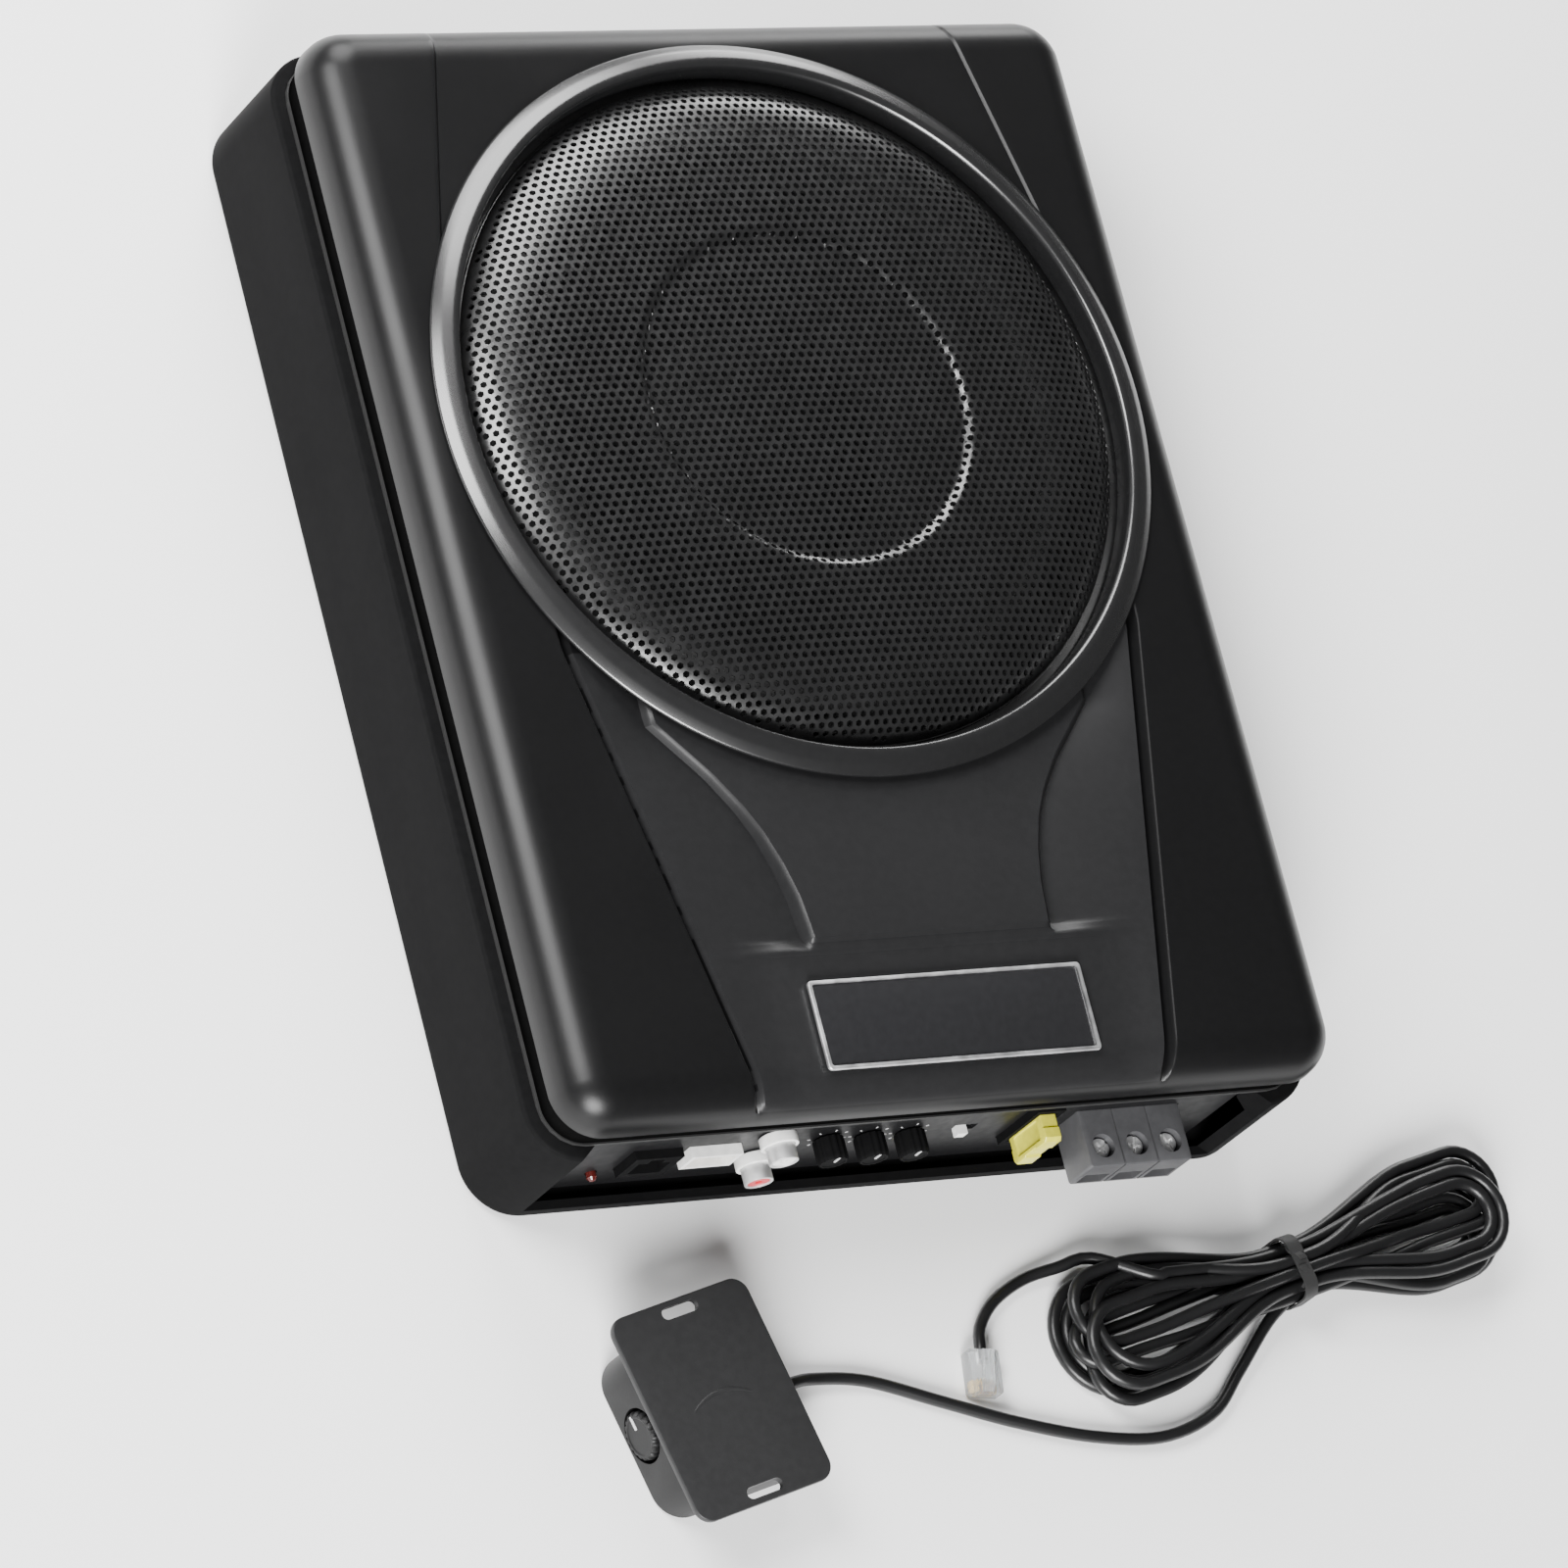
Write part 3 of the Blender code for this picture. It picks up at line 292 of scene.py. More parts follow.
def make_materials():
    return {
        "black_abs": moulded("tray_plastic", (0.006, 0.006, 0.0062), 0.55, Specular_IOR_Level=0.012),
        "cover_abs": moulded("cover_plastic", (0.0038, 0.0038, 0.004), 0.36, 1700.0, 0.00003,
                             Specular_IOR_Level=0.24),
        # painted shade: a darker, non-reflecting copy of the cover plastic stands in for the shadow in the
        # groove under the shoulder
        "skirt_painted_shade": moulded("skirt_painted_shade_plastic", (0.003, 0.003, 0.003), 0.6, Specular_IOR_Level=0.0),
        # painted light: a lighter, glossier copy of the cover plastic stands in for the extra light on the
        # recess below the ring
        "inset_painted_light": moulded("inset_painted_light_plastic", (0.0095, 0.0095, 0.01), 0.42, 1300.0, 0.00004,
                               Specular_IOR_Level=0.3),
        "grille_steel": coated("grille_paint", (0.006, 0.006, 0.0062), 0.3, Specular_IOR_Level=0.9),
        "trim_satin": moulded("trim_plastic", (0.007, 0.007, 0.0073), 0.26, 2000.0, 0.00001,
                              Specular_IOR_Level=1.0),
        "remote_abs": moulded("remote_plastic", (0.007, 0.007, 0.0072), 0.45, Specular_IOR_Level=0.2),
        "plate_abs": moulded("plate_plastic", (0.016, 0.016, 0.0165), 0.42, 900.0, 0.00005,
                             Specular_IOR_Level=0.3),
        "badge_face": moulded("badge_film", (0.012, 0.012, 0.013), 0.25, 1500.0, 0.00001),
        "badge_silver": metal("badge_metal", (0.92, 0.92, 0.93), 0.42, grain=2500.0, depth=0.000004),
        "rubber": moulded("black_rubber", (0.012, 0.012, 0.012), 0.62, 900.0, 0.00005),
        "cone_paper": moulded("cone_pulp", (0.01, 0.01, 0.0105), 0.7, 500.0, 0.0002, Specular_IOR_Level=0.2),
        "spider_cloth": woven("spider_weave", (0.5, 0.36, 0.15), 0.85, 0.0009),
        "zinc_steel": metal("zinc_plate", (0.93, 0.93, 0.93), 0.5),
        "black_steel": coated("black_paint", (0.007, 0.007, 0.0075), 0.42, Specular_IOR_Level=0.2),
        "ferrite": coated("ground_ferrite", (0.05, 0.05, 0.053), 0.55),
        "copper": metal("enamelled_wire", (0.75, 0.33, 0.16), 0.3, (1, 1, 40)),
        "circuit_board": moulded("solder_mask", (0.01, 0.1, 0.03), 0.35, 600.0, 0.00008),
        "aluminium": metal("extruded_aluminium", (0.72, 0.73, 0.75), 0.35, (30, 1, 30)),
        "white_plastic": moulded("white_nylon", (0.8, 0.8, 0.78), 0.35),
        "red_plastic": moulded("red_nylon", (0.55, 0.02, 0.035), 0.33),
        "fuse_yellow": moulded("fuse_amber", (0.78, 0.74, 0.06), 0.22, 800.0, 0.00002,
                               Transmission_Weight=0.25),
        "terminal_grey": moulded("terminal_plastic", (0.06, 0.06, 0.063), 0.36),
        "led_red": moulded("led_lens", (0.09, 0.012, 0.01), 0.15, 500.0, 0.00001, Transmission_Weight=0.3),
        "can_sleeve": moulded("capacitor_sleeve", (0.015, 0.015, 0.035), 0.25),
        "cord_pvc": moulded("cord_jacket", (0.006, 0.006, 0.0063), 0.36, 1200.0, 0.00003,
                            Specular_IOR_Level=0.4),
        "clear_plastic": moulded("clear_polycarbonate", (0.9, 0.92, 0.93), 0.08, 400.0, 0.00001,
                                 Transmission_Weight=0.85, IOR=1.5),
        "panel_print": moulded("pale_print", (0.5, 0.5, 0.5), 0.5),
        "gold": metal("gold_contact", (0.85, 0.6, 0.22), 0.25),
    }


def paint_cad_nodes(materials):
    """Every CAD node that stays visible takes the procedural finish of its slot."""
    for entry in frame["record"]["subparts"]:
        mesh = frame["nodes"][entry["node"]].data
        mesh.materials.clear()
        mesh.materials.append(materials[entry["material_slot"]])


# ---- mesh helpers

def add_piece(name, mesh, body, slot, nodes=(), smooth=30.0, look=None, place=None):
    """Show a mesh in place of the named CAD nodes, riding on a body, in its slot's material or look."""
    if place is not None:
        mesh.transform(place)
    mesh.shade_smooth()
    mesh.set_sharp_from_angle(angle=radians(smooth))
    piece = new_object(name, mesh)
    mesh.materials.append(MATERIALS[look or slot])
    if nodes:
        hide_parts(*nodes)
    if body:
        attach(piece, body)
    return piece


def raw_mesh(name, verts, faces):
    """Mesh in metres from millimetre points."""
    mesh = bpy.data.meshes.new(name)
    mesh.from_pydata([tuple(c * MM for c in v) for v in verts], [], faces)
    return mesh


def mesh_from(name, verts, faces):
    """Closed mesh from millimetre points, with its faces turned outwards."""
    mesh = raw_mesh(name, verts, faces)
    bm = bmesh.new()
    bm.from_mesh(mesh)
    bmesh.ops.remove_doubles(bm, verts=bm.verts, dist=0.000002)
    bmesh.ops.recalc_face_normals(bm, faces=bm.faces)
    bm.to_mesh(mesh)
    bm.free()
    return mesh


def turned_mesh(name, profile, steps=96, place=(0, 0, 0), closed=True):
    """Spin (radius, height) points about Z; closed profiles give rings."""
    verts, faces = [], []
    count = len(profile)
    for step in range(steps):
        angle = 2 * pi * step / steps
        for radius, height in profile:
            verts.append((radius * cos(angle), radius * sin(angle), height))
    last = count if closed else count - 1
    for step in range(steps):
        here, there = step * count, ((step + 1) % steps) * count
        for k in range(last):
            n = (k + 1) % count
            faces.append((here + k, there + k, there + n, here + n))
    verts = [(v[0] + place[0], v[1] + place[1], v[2] + place[2]) for v in verts]
    return mesh_from(name, verts, faces)


def rounded_profile(points, radius, steps=4):
    """Round each corner of a closed (radius, height) profile by the given amount."""
    out = []
    count = len(points)
    for i, point in enumerate(points):
        before = Vector(points[i - 1]) - Vector(point)
        after = Vector(points[(i + 1) % count]) - Vector(point)
        if before.length < 1e-6 or after.length < 1e-6 or point[0] == 0:
            out.append(tuple(point))
            continue
        cut = min(radius, before.length * 0.45, after.length * 0.45)
        start = Vector(point) + before.normalized() * cut
        end = Vector(point) + after.normalized() * cut
        for k in range(steps + 1):
            t = k / steps
            spot = start * (1 - t) ** 2 + Vector(point) * 2 * t * (1 - t) + end * t * t
            out.append((spot.x, spot.y))
    return out


def rounded_rectangle(half_x, half_y, radius, steps):
    points = []
    for quarter, (side_x, side_y) in enumerate(CORNER_SIGNS):
        for step in range(steps + 1):
            angle = pi * (0.5 * quarter + 0.5 * step / steps)
            points.append((side_x * (half_x - radius) + radius * cos(angle),
                           side_y * (half_y - radius) + radius * sin(angle)))
    return points


def loft_faces(levels, count):
    """Quads between loops of count vertices laid out one after another."""
    faces = []
    for low in range(0, (levels - 1) * count, count):
        for i in range(count):
            j = (i + 1) % count
            faces.append((low + i, low + j, low + count + j, low + count + i))
    return faces


def end_caps(total, count):
    """The first and last loops of a loft as faces."""
    return [tuple(reversed(range(count))), tuple(range(total - count, total))]


def slab_mesh(name, outline, low, high, edge=0.4, steps=3, place=(0, 0, 0)):
    """Prism over a convex outline with rounded upper and lower edges."""
    angles = [pi / 2 * k / steps for k in range(steps + 1)]
    levels = [(edge * (1 - sin(a)), low + edge * (1 - cos(a))) for a in angles]
    levels += [(edge * (1 - cos(a)), high - edge * (1 - sin(a))) for a in angles]
    count = len(outline)
    verts, normals = [], []
    for i in range(count):
        along = (Vector(outline[(i + 1) % count]) - Vector(outline[i - 1])).normalized()
        normals.append(Vector((along.y, -along.x)))
    for shrink, height in levels:
        for (x, y), normal in zip(outline, normals):
            verts.append((x - normal.x * shrink + place[0], y - normal.y * shrink + place[1],
                          height + place[2]))
    return mesh_from(name, verts, loft_faces(len(levels), count) + end_caps(len(verts), count))


def join_meshes(name, meshes):
    """One mesh from several, which are used up."""
    bm = bmesh.new()
    for mesh in meshes:
        bm.from_mesh(mesh)
        bpy.data.meshes.remove(mesh)
    mesh = bpy.data.meshes.new(name)
    bm.to_mesh(mesh)
    bm.free()
    return mesh


def spline_points(points, steps):
    """Points on a smooth curve through every given point, steps of them between neighbours."""
    knots = [Vector(p) for p in points]
    knots = [knots[0] * 2 - knots[1]] + knots + [knots[-1] * 2 - knots[-2]]
    dense = []
    for a, b, c, d in zip(knots, knots[1:], knots[2:], knots[3:]):
        for step in range(steps):
            t = step / steps
            dense.append(0.5 * (2 * b + (c - a) * t + (2 * a - 5 * b + 4 * c - d) * t ** 2
                                + (3 * b - a - 3 * c + d) * t ** 3))
    return dense + [knots[-2]]


def shift(x, y, z):
    """Move by a distance given in millimetres."""
    return Matrix.Translation(Vector((x, y, z)) * MM)


def transformed(mesh, matrix):
    mesh.transform(matrix)
    return mesh


def block_mesh(name, low, high, edge=0.3):
    """Box with rounded edges between two (x, y, z) corners."""
    half_x, half_y = (high[0] - low[0]) / 2, (high[1] - low[1]) / 2
    outline = rounded_rectangle(half_x, half_y, min(edge * 1.5, half_x * 0.9, half_y * 0.9), 3)
    centre = ((high[0] + low[0]) / 2, (high[1] + low[1]) / 2, 0)
    return slab_mesh(name, outline, low[2], high[2], min(edge, (high[2] - low[2]) * 0.4), 2, centre)


def bar_mesh(name, x, half, low, high, edge):
    """Block centred on x, between two (y, z) corners."""
    return block_mesh(name, (x - half, *low), (x + half, *high), edge)


def cut_mesh(mesh, cutters):
    """Apply exact Booleans with throwaway cutter meshes and return the new mesh."""
    host = new_object("host", mesh)
    tools = []
    for cutter in cutters:
        tool = new_object("tool", cutter)
        mod = host.modifiers.new("cut", "BOOLEAN")
        mod.operation = "DIFFERENCE"
        mod.solver = "EXACT"
        mod.object = tool
        tools.append(tool)
    bpy.context.view_layer.update()
    done = bpy.data.meshes.new_from_object(host.evaluated_get(bpy.context.evaluated_depsgraph_get()))
    for tool in tools:
        bpy.data.objects.remove(tool)
    bpy.data.objects.remove(host)
    return done


def on_panel(x, z):
    """Places a shape made about +Z so that it faces out of the connector panel."""
    return shift(x, PANEL_FACE, z) @ Matrix.Rotation(pi / 2, 4, "X")


# ---- cabinet shells

def tray_levels():
    """(inset, height) up the outside of the tray, over its rim and down inside."""
    radius = 3.0
    levels = [(radius - radius * sin(a), radius - radius * cos(a))
              for a in np.linspace(0, pi / 2, 7)]
    rim = 1.2
    levels += [(0.0, 14.0), (0.0, 30.0), (0.0, TRAY_TOP - rim)]
    levels += [(rim - rim * cos(a), TRAY_TOP - rim + rim * sin(a)) for a in np.linspace(0.3, pi / 2, 4)]
    levels += [(6.8, TRAY_TOP), (6.8, 38.0), (2.6, 33.8), (2.6, 2.6)]
    return levels


def make_tray():
    steps = 18
    verts = []
    for inset, height in tray_levels():
        radius = max(CORNER_RADIUS - inset, 4.0)
        for x, y in rounded_rectangle(HALF_WIDTH - inset, HALF_LENGTH - inset, radius, steps):
            verts.append((x, y, height))
    count = 4 * (steps + 1)
    faces = loft_faces(len(tray_levels()), count) + end_caps(len(verts), count)
    shell = mesh_from("tray_shell", verts, faces)
    end = -HALF_LENGTH
    notch = [(104.0, end + 10), (104.0, PANEL_FACE - 0.3), (113.0, end - 2),
             (-113.0, end - 2), (-104.0, PANEL_FACE - 0.3), (-104.0, end + 10)]
    cutters = [slab_mesh("notch", notch, 6.0, TRAY_TOP + 5, 0.01, 1)]
    for side_x, side_y in CORNER_SIGNS:
        place = (side_x * COVER_SCREW_X, side_y * COVER_SCREW_Y, 0)
        bore = [(0, 2.1), (4.2, 2.1), (4.2, -2), (0, -2)]
        cutters.append(turned_mesh("counterbore", bore, 32, place, False))
    shell = cut_mesh(shell, cutters)
    add_piece("tray_shell", shell, CABINET, "black_abs", ("base_tray",), 28)


def smooth_step(value, low, high):
    t = min(max((value - low) / (high - low), 0.0), 1.0)
    return t * t * (3 - 2 * t)


def groove_x(y):
    """The crease that runs the cover's length: groove below the ring, step above it."""
    if y < -28:
        return 66.0 + (93.0 - 66.0) * (y + 166.0) / 138.0
    if y < 95:
        return 93.0 + 5.0 * (y + 28.0) / 123.0
    return 98.0 - 16.0 * (y - 95.0) / 71.0


def panel_x(y):
    """Edge of the raised centre panel between the ring and the badge shelf."""
    knots = [(-170.0, 38.0), (-116.0, 38.5), (-104.0, 39.6), (-94.0, 41.8), (-84.0, 45.2), (-76.0, 49.2),
             (-66.0, 56.0), (-58.0, 63.0), (-50.0, 70.0), (170.0, 70.0)]
    for (y0, x0), (y1, x1) in zip(knots, knots[1:]):
        if y <= y1:
            return x0 + (x1 - x0) * (y - y0) / (y1 - y0)
    return knots[-1][1]


COLUMN_PARTS = 14
CORNER_PARTS = 14


def column_positions(y):
    """Cross-wise vertex places at one y: they crowd where the creases are."""
    groove, panel = groove_x(y), panel_x(y)
    half = list(np.linspace(0.0, panel - 2.0, COLUMN_PARTS))[:-1]
    half += [panel + step for step in (-2.0, -1.2, -0.5, 0.0, 0.5, 1.0, 2.0)]
    half += list(np.linspace(panel + 2.0, groove - 3.8, COLUMN_PARTS))[1:-1]
    half += [groove + step for step in (-3.8, -3.0, -2.2, -1.6, -0.9, -0.5, -0.1, 0.3, 0.9, 1.8)]
    outer_start = groove + 1.8
    half += list(np.linspace(outer_start, max(INNER_X, outer_start + 0.5), 8))[1:]
    return [-x for x in reversed(half[1:])] + half


def row_positions():
    rows = list(np.linspace(-INNER_Y, -122.0, 9))
    rows += [-120.6, -120.0, -119.4, -118.8, -118.0, -117.2, -116.6, -116.0, -115.4, -114.6]
    return rows + list(np.linspace(-113.0, INNER_Y, 110))


def face_height(x, y):
    """Height of the cover's face in millimetres."""
    side = abs(x)
    groove, panel = groove_x(y), panel_x(y)
    edge = COVER_TOP
    if y > 40:
        return edge - 0.7 * (1 - smooth_step(side, groove - 0.5, groove + 0.5))
    sunk = 1 - smooth_step(side, groove - 1.6, groove)
    inside = 1 - min(max((side - panel + 1.2) / 2.2, 0.0), 1.0) ** 1.8
    across = min(max((groove - 3.0 - side) / max(groove - 3.0 - panel, 1.0), 0.0), 1.0)
    side_panel = 68.1 - 3.4 * across ** 1.15
    channel = 3.2 * max(0.0, 1 - abs(side - (groove - 2.2)) / 1.6)
    lower = side_panel - channel
    on_panel = smooth_step(y, -117.2, -115.9)
    ledge = smooth_step(y, -121.0, -119.6)
    fall = 1.6 * smooth_step(y, -114.0, -66.0)
    centre = 67.2 + 0.7 * ledge + 1.1 * on_panel - fall * on_panel
    shelf = 1 - smooth_step(side, 46.0, groove - 5.0)
    inside = shelf + (inside - shelf) * smooth_step(y, -119.4, -114.8)
    floor = lower + (centre - lower) * inside
    return edge + (floor - edge) * sunk


def shoulder_profile():
    """(inset, height) down the outside, from the face to the shadow groove."""
    radius = 12.0
    return [(2.0 + radius - radius * sin(a), COVER_TOP - radius + radius * cos(a))
            for a in np.linspace(0, pi / 2, 11)]


def make_cover():
    """Points and faces of the face and its rolled shoulder, and the loop where the shoulder ends."""
    rows = row_positions()
    verts, faces = [], []
    index = {}

    def add(key, x, y, z):
        if key not in index:
            index[key] = len(verts)
            verts.append((x, y, z))
        return index[key]

    columns = len(column_positions(0.0))
    for j, y in enumerate(rows):
        for i, x in enumerate(column_positions(y)):
            add(("g", i, j), x, y, face_height(x, y))
    for j in range(len(rows) - 1):
        for i in range(columns - 1):
            square = ((i, j), (i + 1, j), (i + 1, j + 1), (i, j + 1))
            faces.append(tuple(index["g", a, b] for a, b in square))
    levels = [(CORNER_RADIUS, None), (15.2, None)] + shoulder_profile()
    last_row, last_column = len(rows) - 1, columns - 1
    previous = None
    for level, (inset, height) in enumerate(levels):
        loop = []
        low, high = -HALF_LENGTH + inset, HALF_LENGTH - inset
        side = HALF_WIDTH - inset
        radius = CORNER_RADIUS - inset

        def put(key, x, y):
            if level == 0:
                return index[key]
            face = face_height(x, y)
            if height is None:
                return add((level, *key), x, y, face)
            keep = smooth_step(height, 60.0, 68.5)
            return add((level, *key), x, y, height + (face - COVER_TOP) * keep)

        def corner(quarter, column, row):
            side_x, side_y = ((1, -1), (1, 1), (-1, 1), (-1, -1))[quarter]
            for step in range(1, CORNER_PARTS):
                if level == 0:
                    loop.append(index["g", column, row])
                    continue
                angle = radians(90 * (quarter - 1) + 90 * step / CORNER_PARTS)
                loop.append(put(("c", quarter, step), side_x * INNER_X + radius * cos(angle),
                                side_y * INNER_Y + radius * sin(angle)))

        for i in range(columns):
            loop.append(put(("g", i, 0), column_positions(low)[i], low))
        corner(0, last_column, 0)
        for j in range(1, last_row):
            loop.append(put(("g", last_column, j), side, rows[j]))
        corner(1, last_column, last_row)
        for i in range(last_column, -1, -1):
            loop.append(put(("g", i, last_row), column_positions(high)[i], high))
        corner(2, 0, last_row)
        for j in range(last_row - 1, 0, -1):
            loop.append(put(("g", 0, j), -side, rows[j]))
        corner(3, 0, 0)
        if previous:
            count = len(loop)
            for k in range(count):
                n = (k + 1) % count
                quad = (previous[k], loop[k], loop[n], previous[n])
                faces.append(tuple(dict.fromkeys(quad)))
        previous = loop
    return verts, [f for f in faces if len(f) > 2], previous


def finish_cover():
    """Face, shoulder, overhang and skirt of the cover as one thick shell with the ring's hole."""
    verts, faces, rim = make_cover()
    points = np.array(verts)
    reach = np.hypot(points[:, 0], points[:, 1] - RING_Y)
    kept = [f for f in faces if max(reach[v] for v in f) > RING_HOLE]
    for skirt_inset, height in ((1.9, 55.3), (2.4, SKIRT_TOP), (4.3, 54.3), (4.3, 50.0), (4.3, 45.8)):
        lower = []
        for v in rim:
            x, y, _ = verts[v]
            moved = offset_inward(x, y, skirt_inset)
            lower.append(len(verts))
            verts.append((*moved, height))
        count = len(rim)
        for k in range(count):
            n = (k + 1) % count
            kept.append((rim[k], lower[k], lower[n], rim[n]))
        rim = lower
    mesh = raw_mesh("cover_shell", verts, kept)
    bm = bmesh.new()
    bm.from_mesh(mesh)
    bmesh.ops.delete(bm, geom=[v for v in bm.verts if not v.link_faces], context="VERTS")
    bmesh.ops.remove_doubles(bm, verts=bm.verts, dist=0.000005)
    # The cut edge round the driver is drawn to a true circle.
    for edge in [e for e in bm.edges if e.is_boundary]:
        for v in edge.verts:
            if v.co.z > 0.06:
                arm = Vector((v.co.x, v.co.y - RING_Y * MM))
                arm = arm.normalized() * RING_HOLE * MM
                v.co.x, v.co.y = arm.x, arm.y + RING_Y * MM
    bmesh.ops.recalc_face_normals(bm, faces=bm.faces)
    top = max(bm.faces, key=lambda f: f.calc_center_median().z)
    if top.normal.z < 0:
        bmesh.ops.reverse_faces(bm, faces=bm.faces)
    bm.to_mesh(mesh)
    bm.free()
    piece = add_piece("cover_shell", mesh, CABINET, "cover_abs", ("top_cover",), 24)
    mesh.materials.append(MATERIALS["skirt_painted_shade"])
    mesh.materials.append(MATERIALS["inset_painted_light"])
    # Faces below SKIRT_TOP take the painted shade of the skirt groove; the recess faces below the ring take
    # painted light.
    for face in mesh.polygons:
        x, y, z = (c / MM for c in face.center)
        if z < SKIRT_TOP:
            face.material_index = 1
        elif MOUTH_Y < y < -28.0 and abs(x) < groove_x(y) - 2.6:
            face.material_index = 2
    wall = piece.modifiers.new("wall", "SOLIDIFY")
    wall.thickness = COVER_WALL * MM
    wall.offset = -1.0


def offset_inward(x, y, inset):
    """Move a point of the cover's outermost loop (inset 2) to another inset."""
    core = Vector((max(-INNER_X, min(INNER_X, x)), max(-INNER_Y, min(INNER_Y, y))))
    out = Vector((x, y)) - core
    scale = (CORNER_RADIUS - inset) / max(out.length, 1e-6)
    return core.x + out.x * scale, core.y + out.y * scale


# ---- ring, grille and badge

def make_trim_ring():
    profile = [(104.1, 64.6), (106.6, 64.6), (106.6, 69.3), (112.4, 69.3), (112.2, 70.2), (109.6, 71.9),
               (106.6, 73.1), (104.9, 73.0), (104.1, 71.8)]
    mesh = turned_mesh("trim_ring_moulding", rounded_profile(profile, 0.6, 3), 180, (0, RING_Y, 0))
    add_piece("trim_ring_moulding", mesh, CABINET, "trim_satin", ("trim_ring",), 40)


GRILLE_PROFILE = [(0.0, 77.0), (12.0, 76.98), (25.0, 76.8), (38.0, 76.5), (48.6, 76.05), (49.7, 76.2),
                  (51.3, 77.25), (52.6, 77.4), (62.0, 77.0), (76.0, 76.0), (87.0, 74.3), (94.0, 72.0),
                  (98.6, 69.0), (101.0, 66.2), (101.6, 64.6)]


def profile_table():
    """Arc length, radius and height along the grille's section, finely sampled."""
    line = np.array([tuple(p) for p in spline_points(GRILLE_PROFILE, 16)])
    run = np.concatenate([[0], np.cumsum(np.hypot(*np.diff(line, axis=0).T))])
    return run, line[:, 0], line[:, 1]


def hexagon(x, y, size):
    return [(x + size * sin(pi / 3 * k), y + size * cos(pi / 3 * k)) for k in range(6)]


def make_grille():
    """Perforated steel pan: hexagonal cells, each with its own punched hole."""
    pitch, hole_radius, thickness = 2.9, 1.02, 0.8
    run, radii, heights = profile_table()
    reach = run[-1]
    flat, tiles, keys = [], [], {}

    def corner_vertex(x, y):
        key = (round(x * 50), round(y * 50))
        if key not in keys:
            keys[key] = len(flat)
            distance = hypot(x, y)
            limit = min(1.0, reach / max(distance, 1e-9))
            flat.append((x * limit, y * limit))
        return keys[key]

    rows = int(reach / (pitch * 0.866)) + 2
    for j in range(-rows, rows + 1):
        for i in range(-rows, rows + 1):
            cx = (i + 0.5 * (j % 2)) * pitch
            cy = j * pitch * sqrt(3) / 2
            distance = hypot(cx, cy)
            if distance > reach + pitch * 0.45:
                continue
            ring = [corner_vertex(x, y) for x, y in hexagon(cx, cy, pitch / sqrt(3))]
            hole = []
            if distance < reach - 3.2:
                hole = list(range(len(flat), len(flat) + 6))
                flat += hexagon(cx, cy, hole_radius)
            tiles.append((ring, hole))
    flat = np.array(flat)
    distance = np.hypot(flat[:, 0], flat[:, 1])
    radius = np.interp(distance, run, radii)
    height = np.interp(distance, run, heights)
    slope_r = np.gradient(radii, run)
    slope_z = np.gradient(heights, run)
    normal_r = -np.interp(distance, run, slope_z)
    normal_z = np.interp(distance, run, slope_r)
    unit = np.divide(flat, np.maximum(distance, 1e-9)[:, None])
    top = np.column_stack([unit * radius[:, None], height])
    under = np.column_stack([unit * (radius - thickness * normal_r)[:, None], height - thickness * normal_z])
    verts = np.vstack([top, under])
    verts[:, 1] += RING_Y
    lower = len(flat)
    faces, border = [], {}
    for ring, hole in tiles:
        for k in range(6):
            n = (k + 1) % 6
            edge = (ring[k], ring[n])
            if edge[::-1] in border:
                border.pop(edge[::-1])
            else:
                border[edge] = True
            if hole:
                faces.append((ring[n], ring[k], hole[k], hole[n]))
                faces.append((ring[k] + lower, ring[n] + lower, hole[n] + lower, hole[k] + lower))
                faces.append((hole[k], hole[k] + lower, hole[n] + lower, hole[n]))
        if not hole:
            faces.append(tuple(reversed(ring)))
            faces.append(tuple(v + lower for v in ring))
    for a, b in border:
        faces.append((a, b, b + lower, a + lower))
    mesh = raw_mesh("grille_mesh", verts.tolist(), faces)
    bm = bmesh.new()
    bm.from_mesh(mesh)
    bmesh.ops.recalc_face_normals(bm, faces=bm.faces)
    bm.to_mesh(mesh)
    bm.free()
    foot = [(101.7, 65.4), (101.7, 64.3), (106.3, 64.3), (106.3, 63.3), (100.5, 63.3), (100.5, 65.4)]
    foot = turned_mesh("grille_foot", rounded_profile(foot, 0.3, 2), 120, (0, RING_Y, 0))
    mesh = join_meshes("grille_mesh", [mesh, foot])
    add_piece("grille_mesh", mesh, CABINET, "grille_steel", ("grille",), 50)


def make_badge():
    """Plain plate in a thin bright frame."""
    def slab(name, inset, radius, steps, low, high, edge, edge_steps):
        outline = rounded_rectangle(43.5 - inset, 13.0 - inset, radius, steps)
        return slab_mesh(name, outline, low, high, edge, edge_steps, (0, BADGE_Y, 0))

    low = BADGE_BASE
    bezel = slab("badge_frame_bar", 0.0, 1.2, 4, low, low + 1.3, 0.35, 3)
    window = slab("window", 1.1, 0.7, 3, low - 1, low + 3, 0.01, 1)
    add_piece("badge_bezel", cut_mesh(bezel, [window]), CABINET, "badge_silver", ("badge_frame",), 30)
    plate = slab("badge_blank", 1.25, 0.6, 3, low, low + 0.8, 0.2, 2)
    add_piece("badge_blank", plate, CABINET, "trim_satin", ("badge_plate",), 30, "badge_face")


# ---- suspension

def set_blend(piece):
    """Bakes the piece's placement into its mesh."""
    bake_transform(piece)


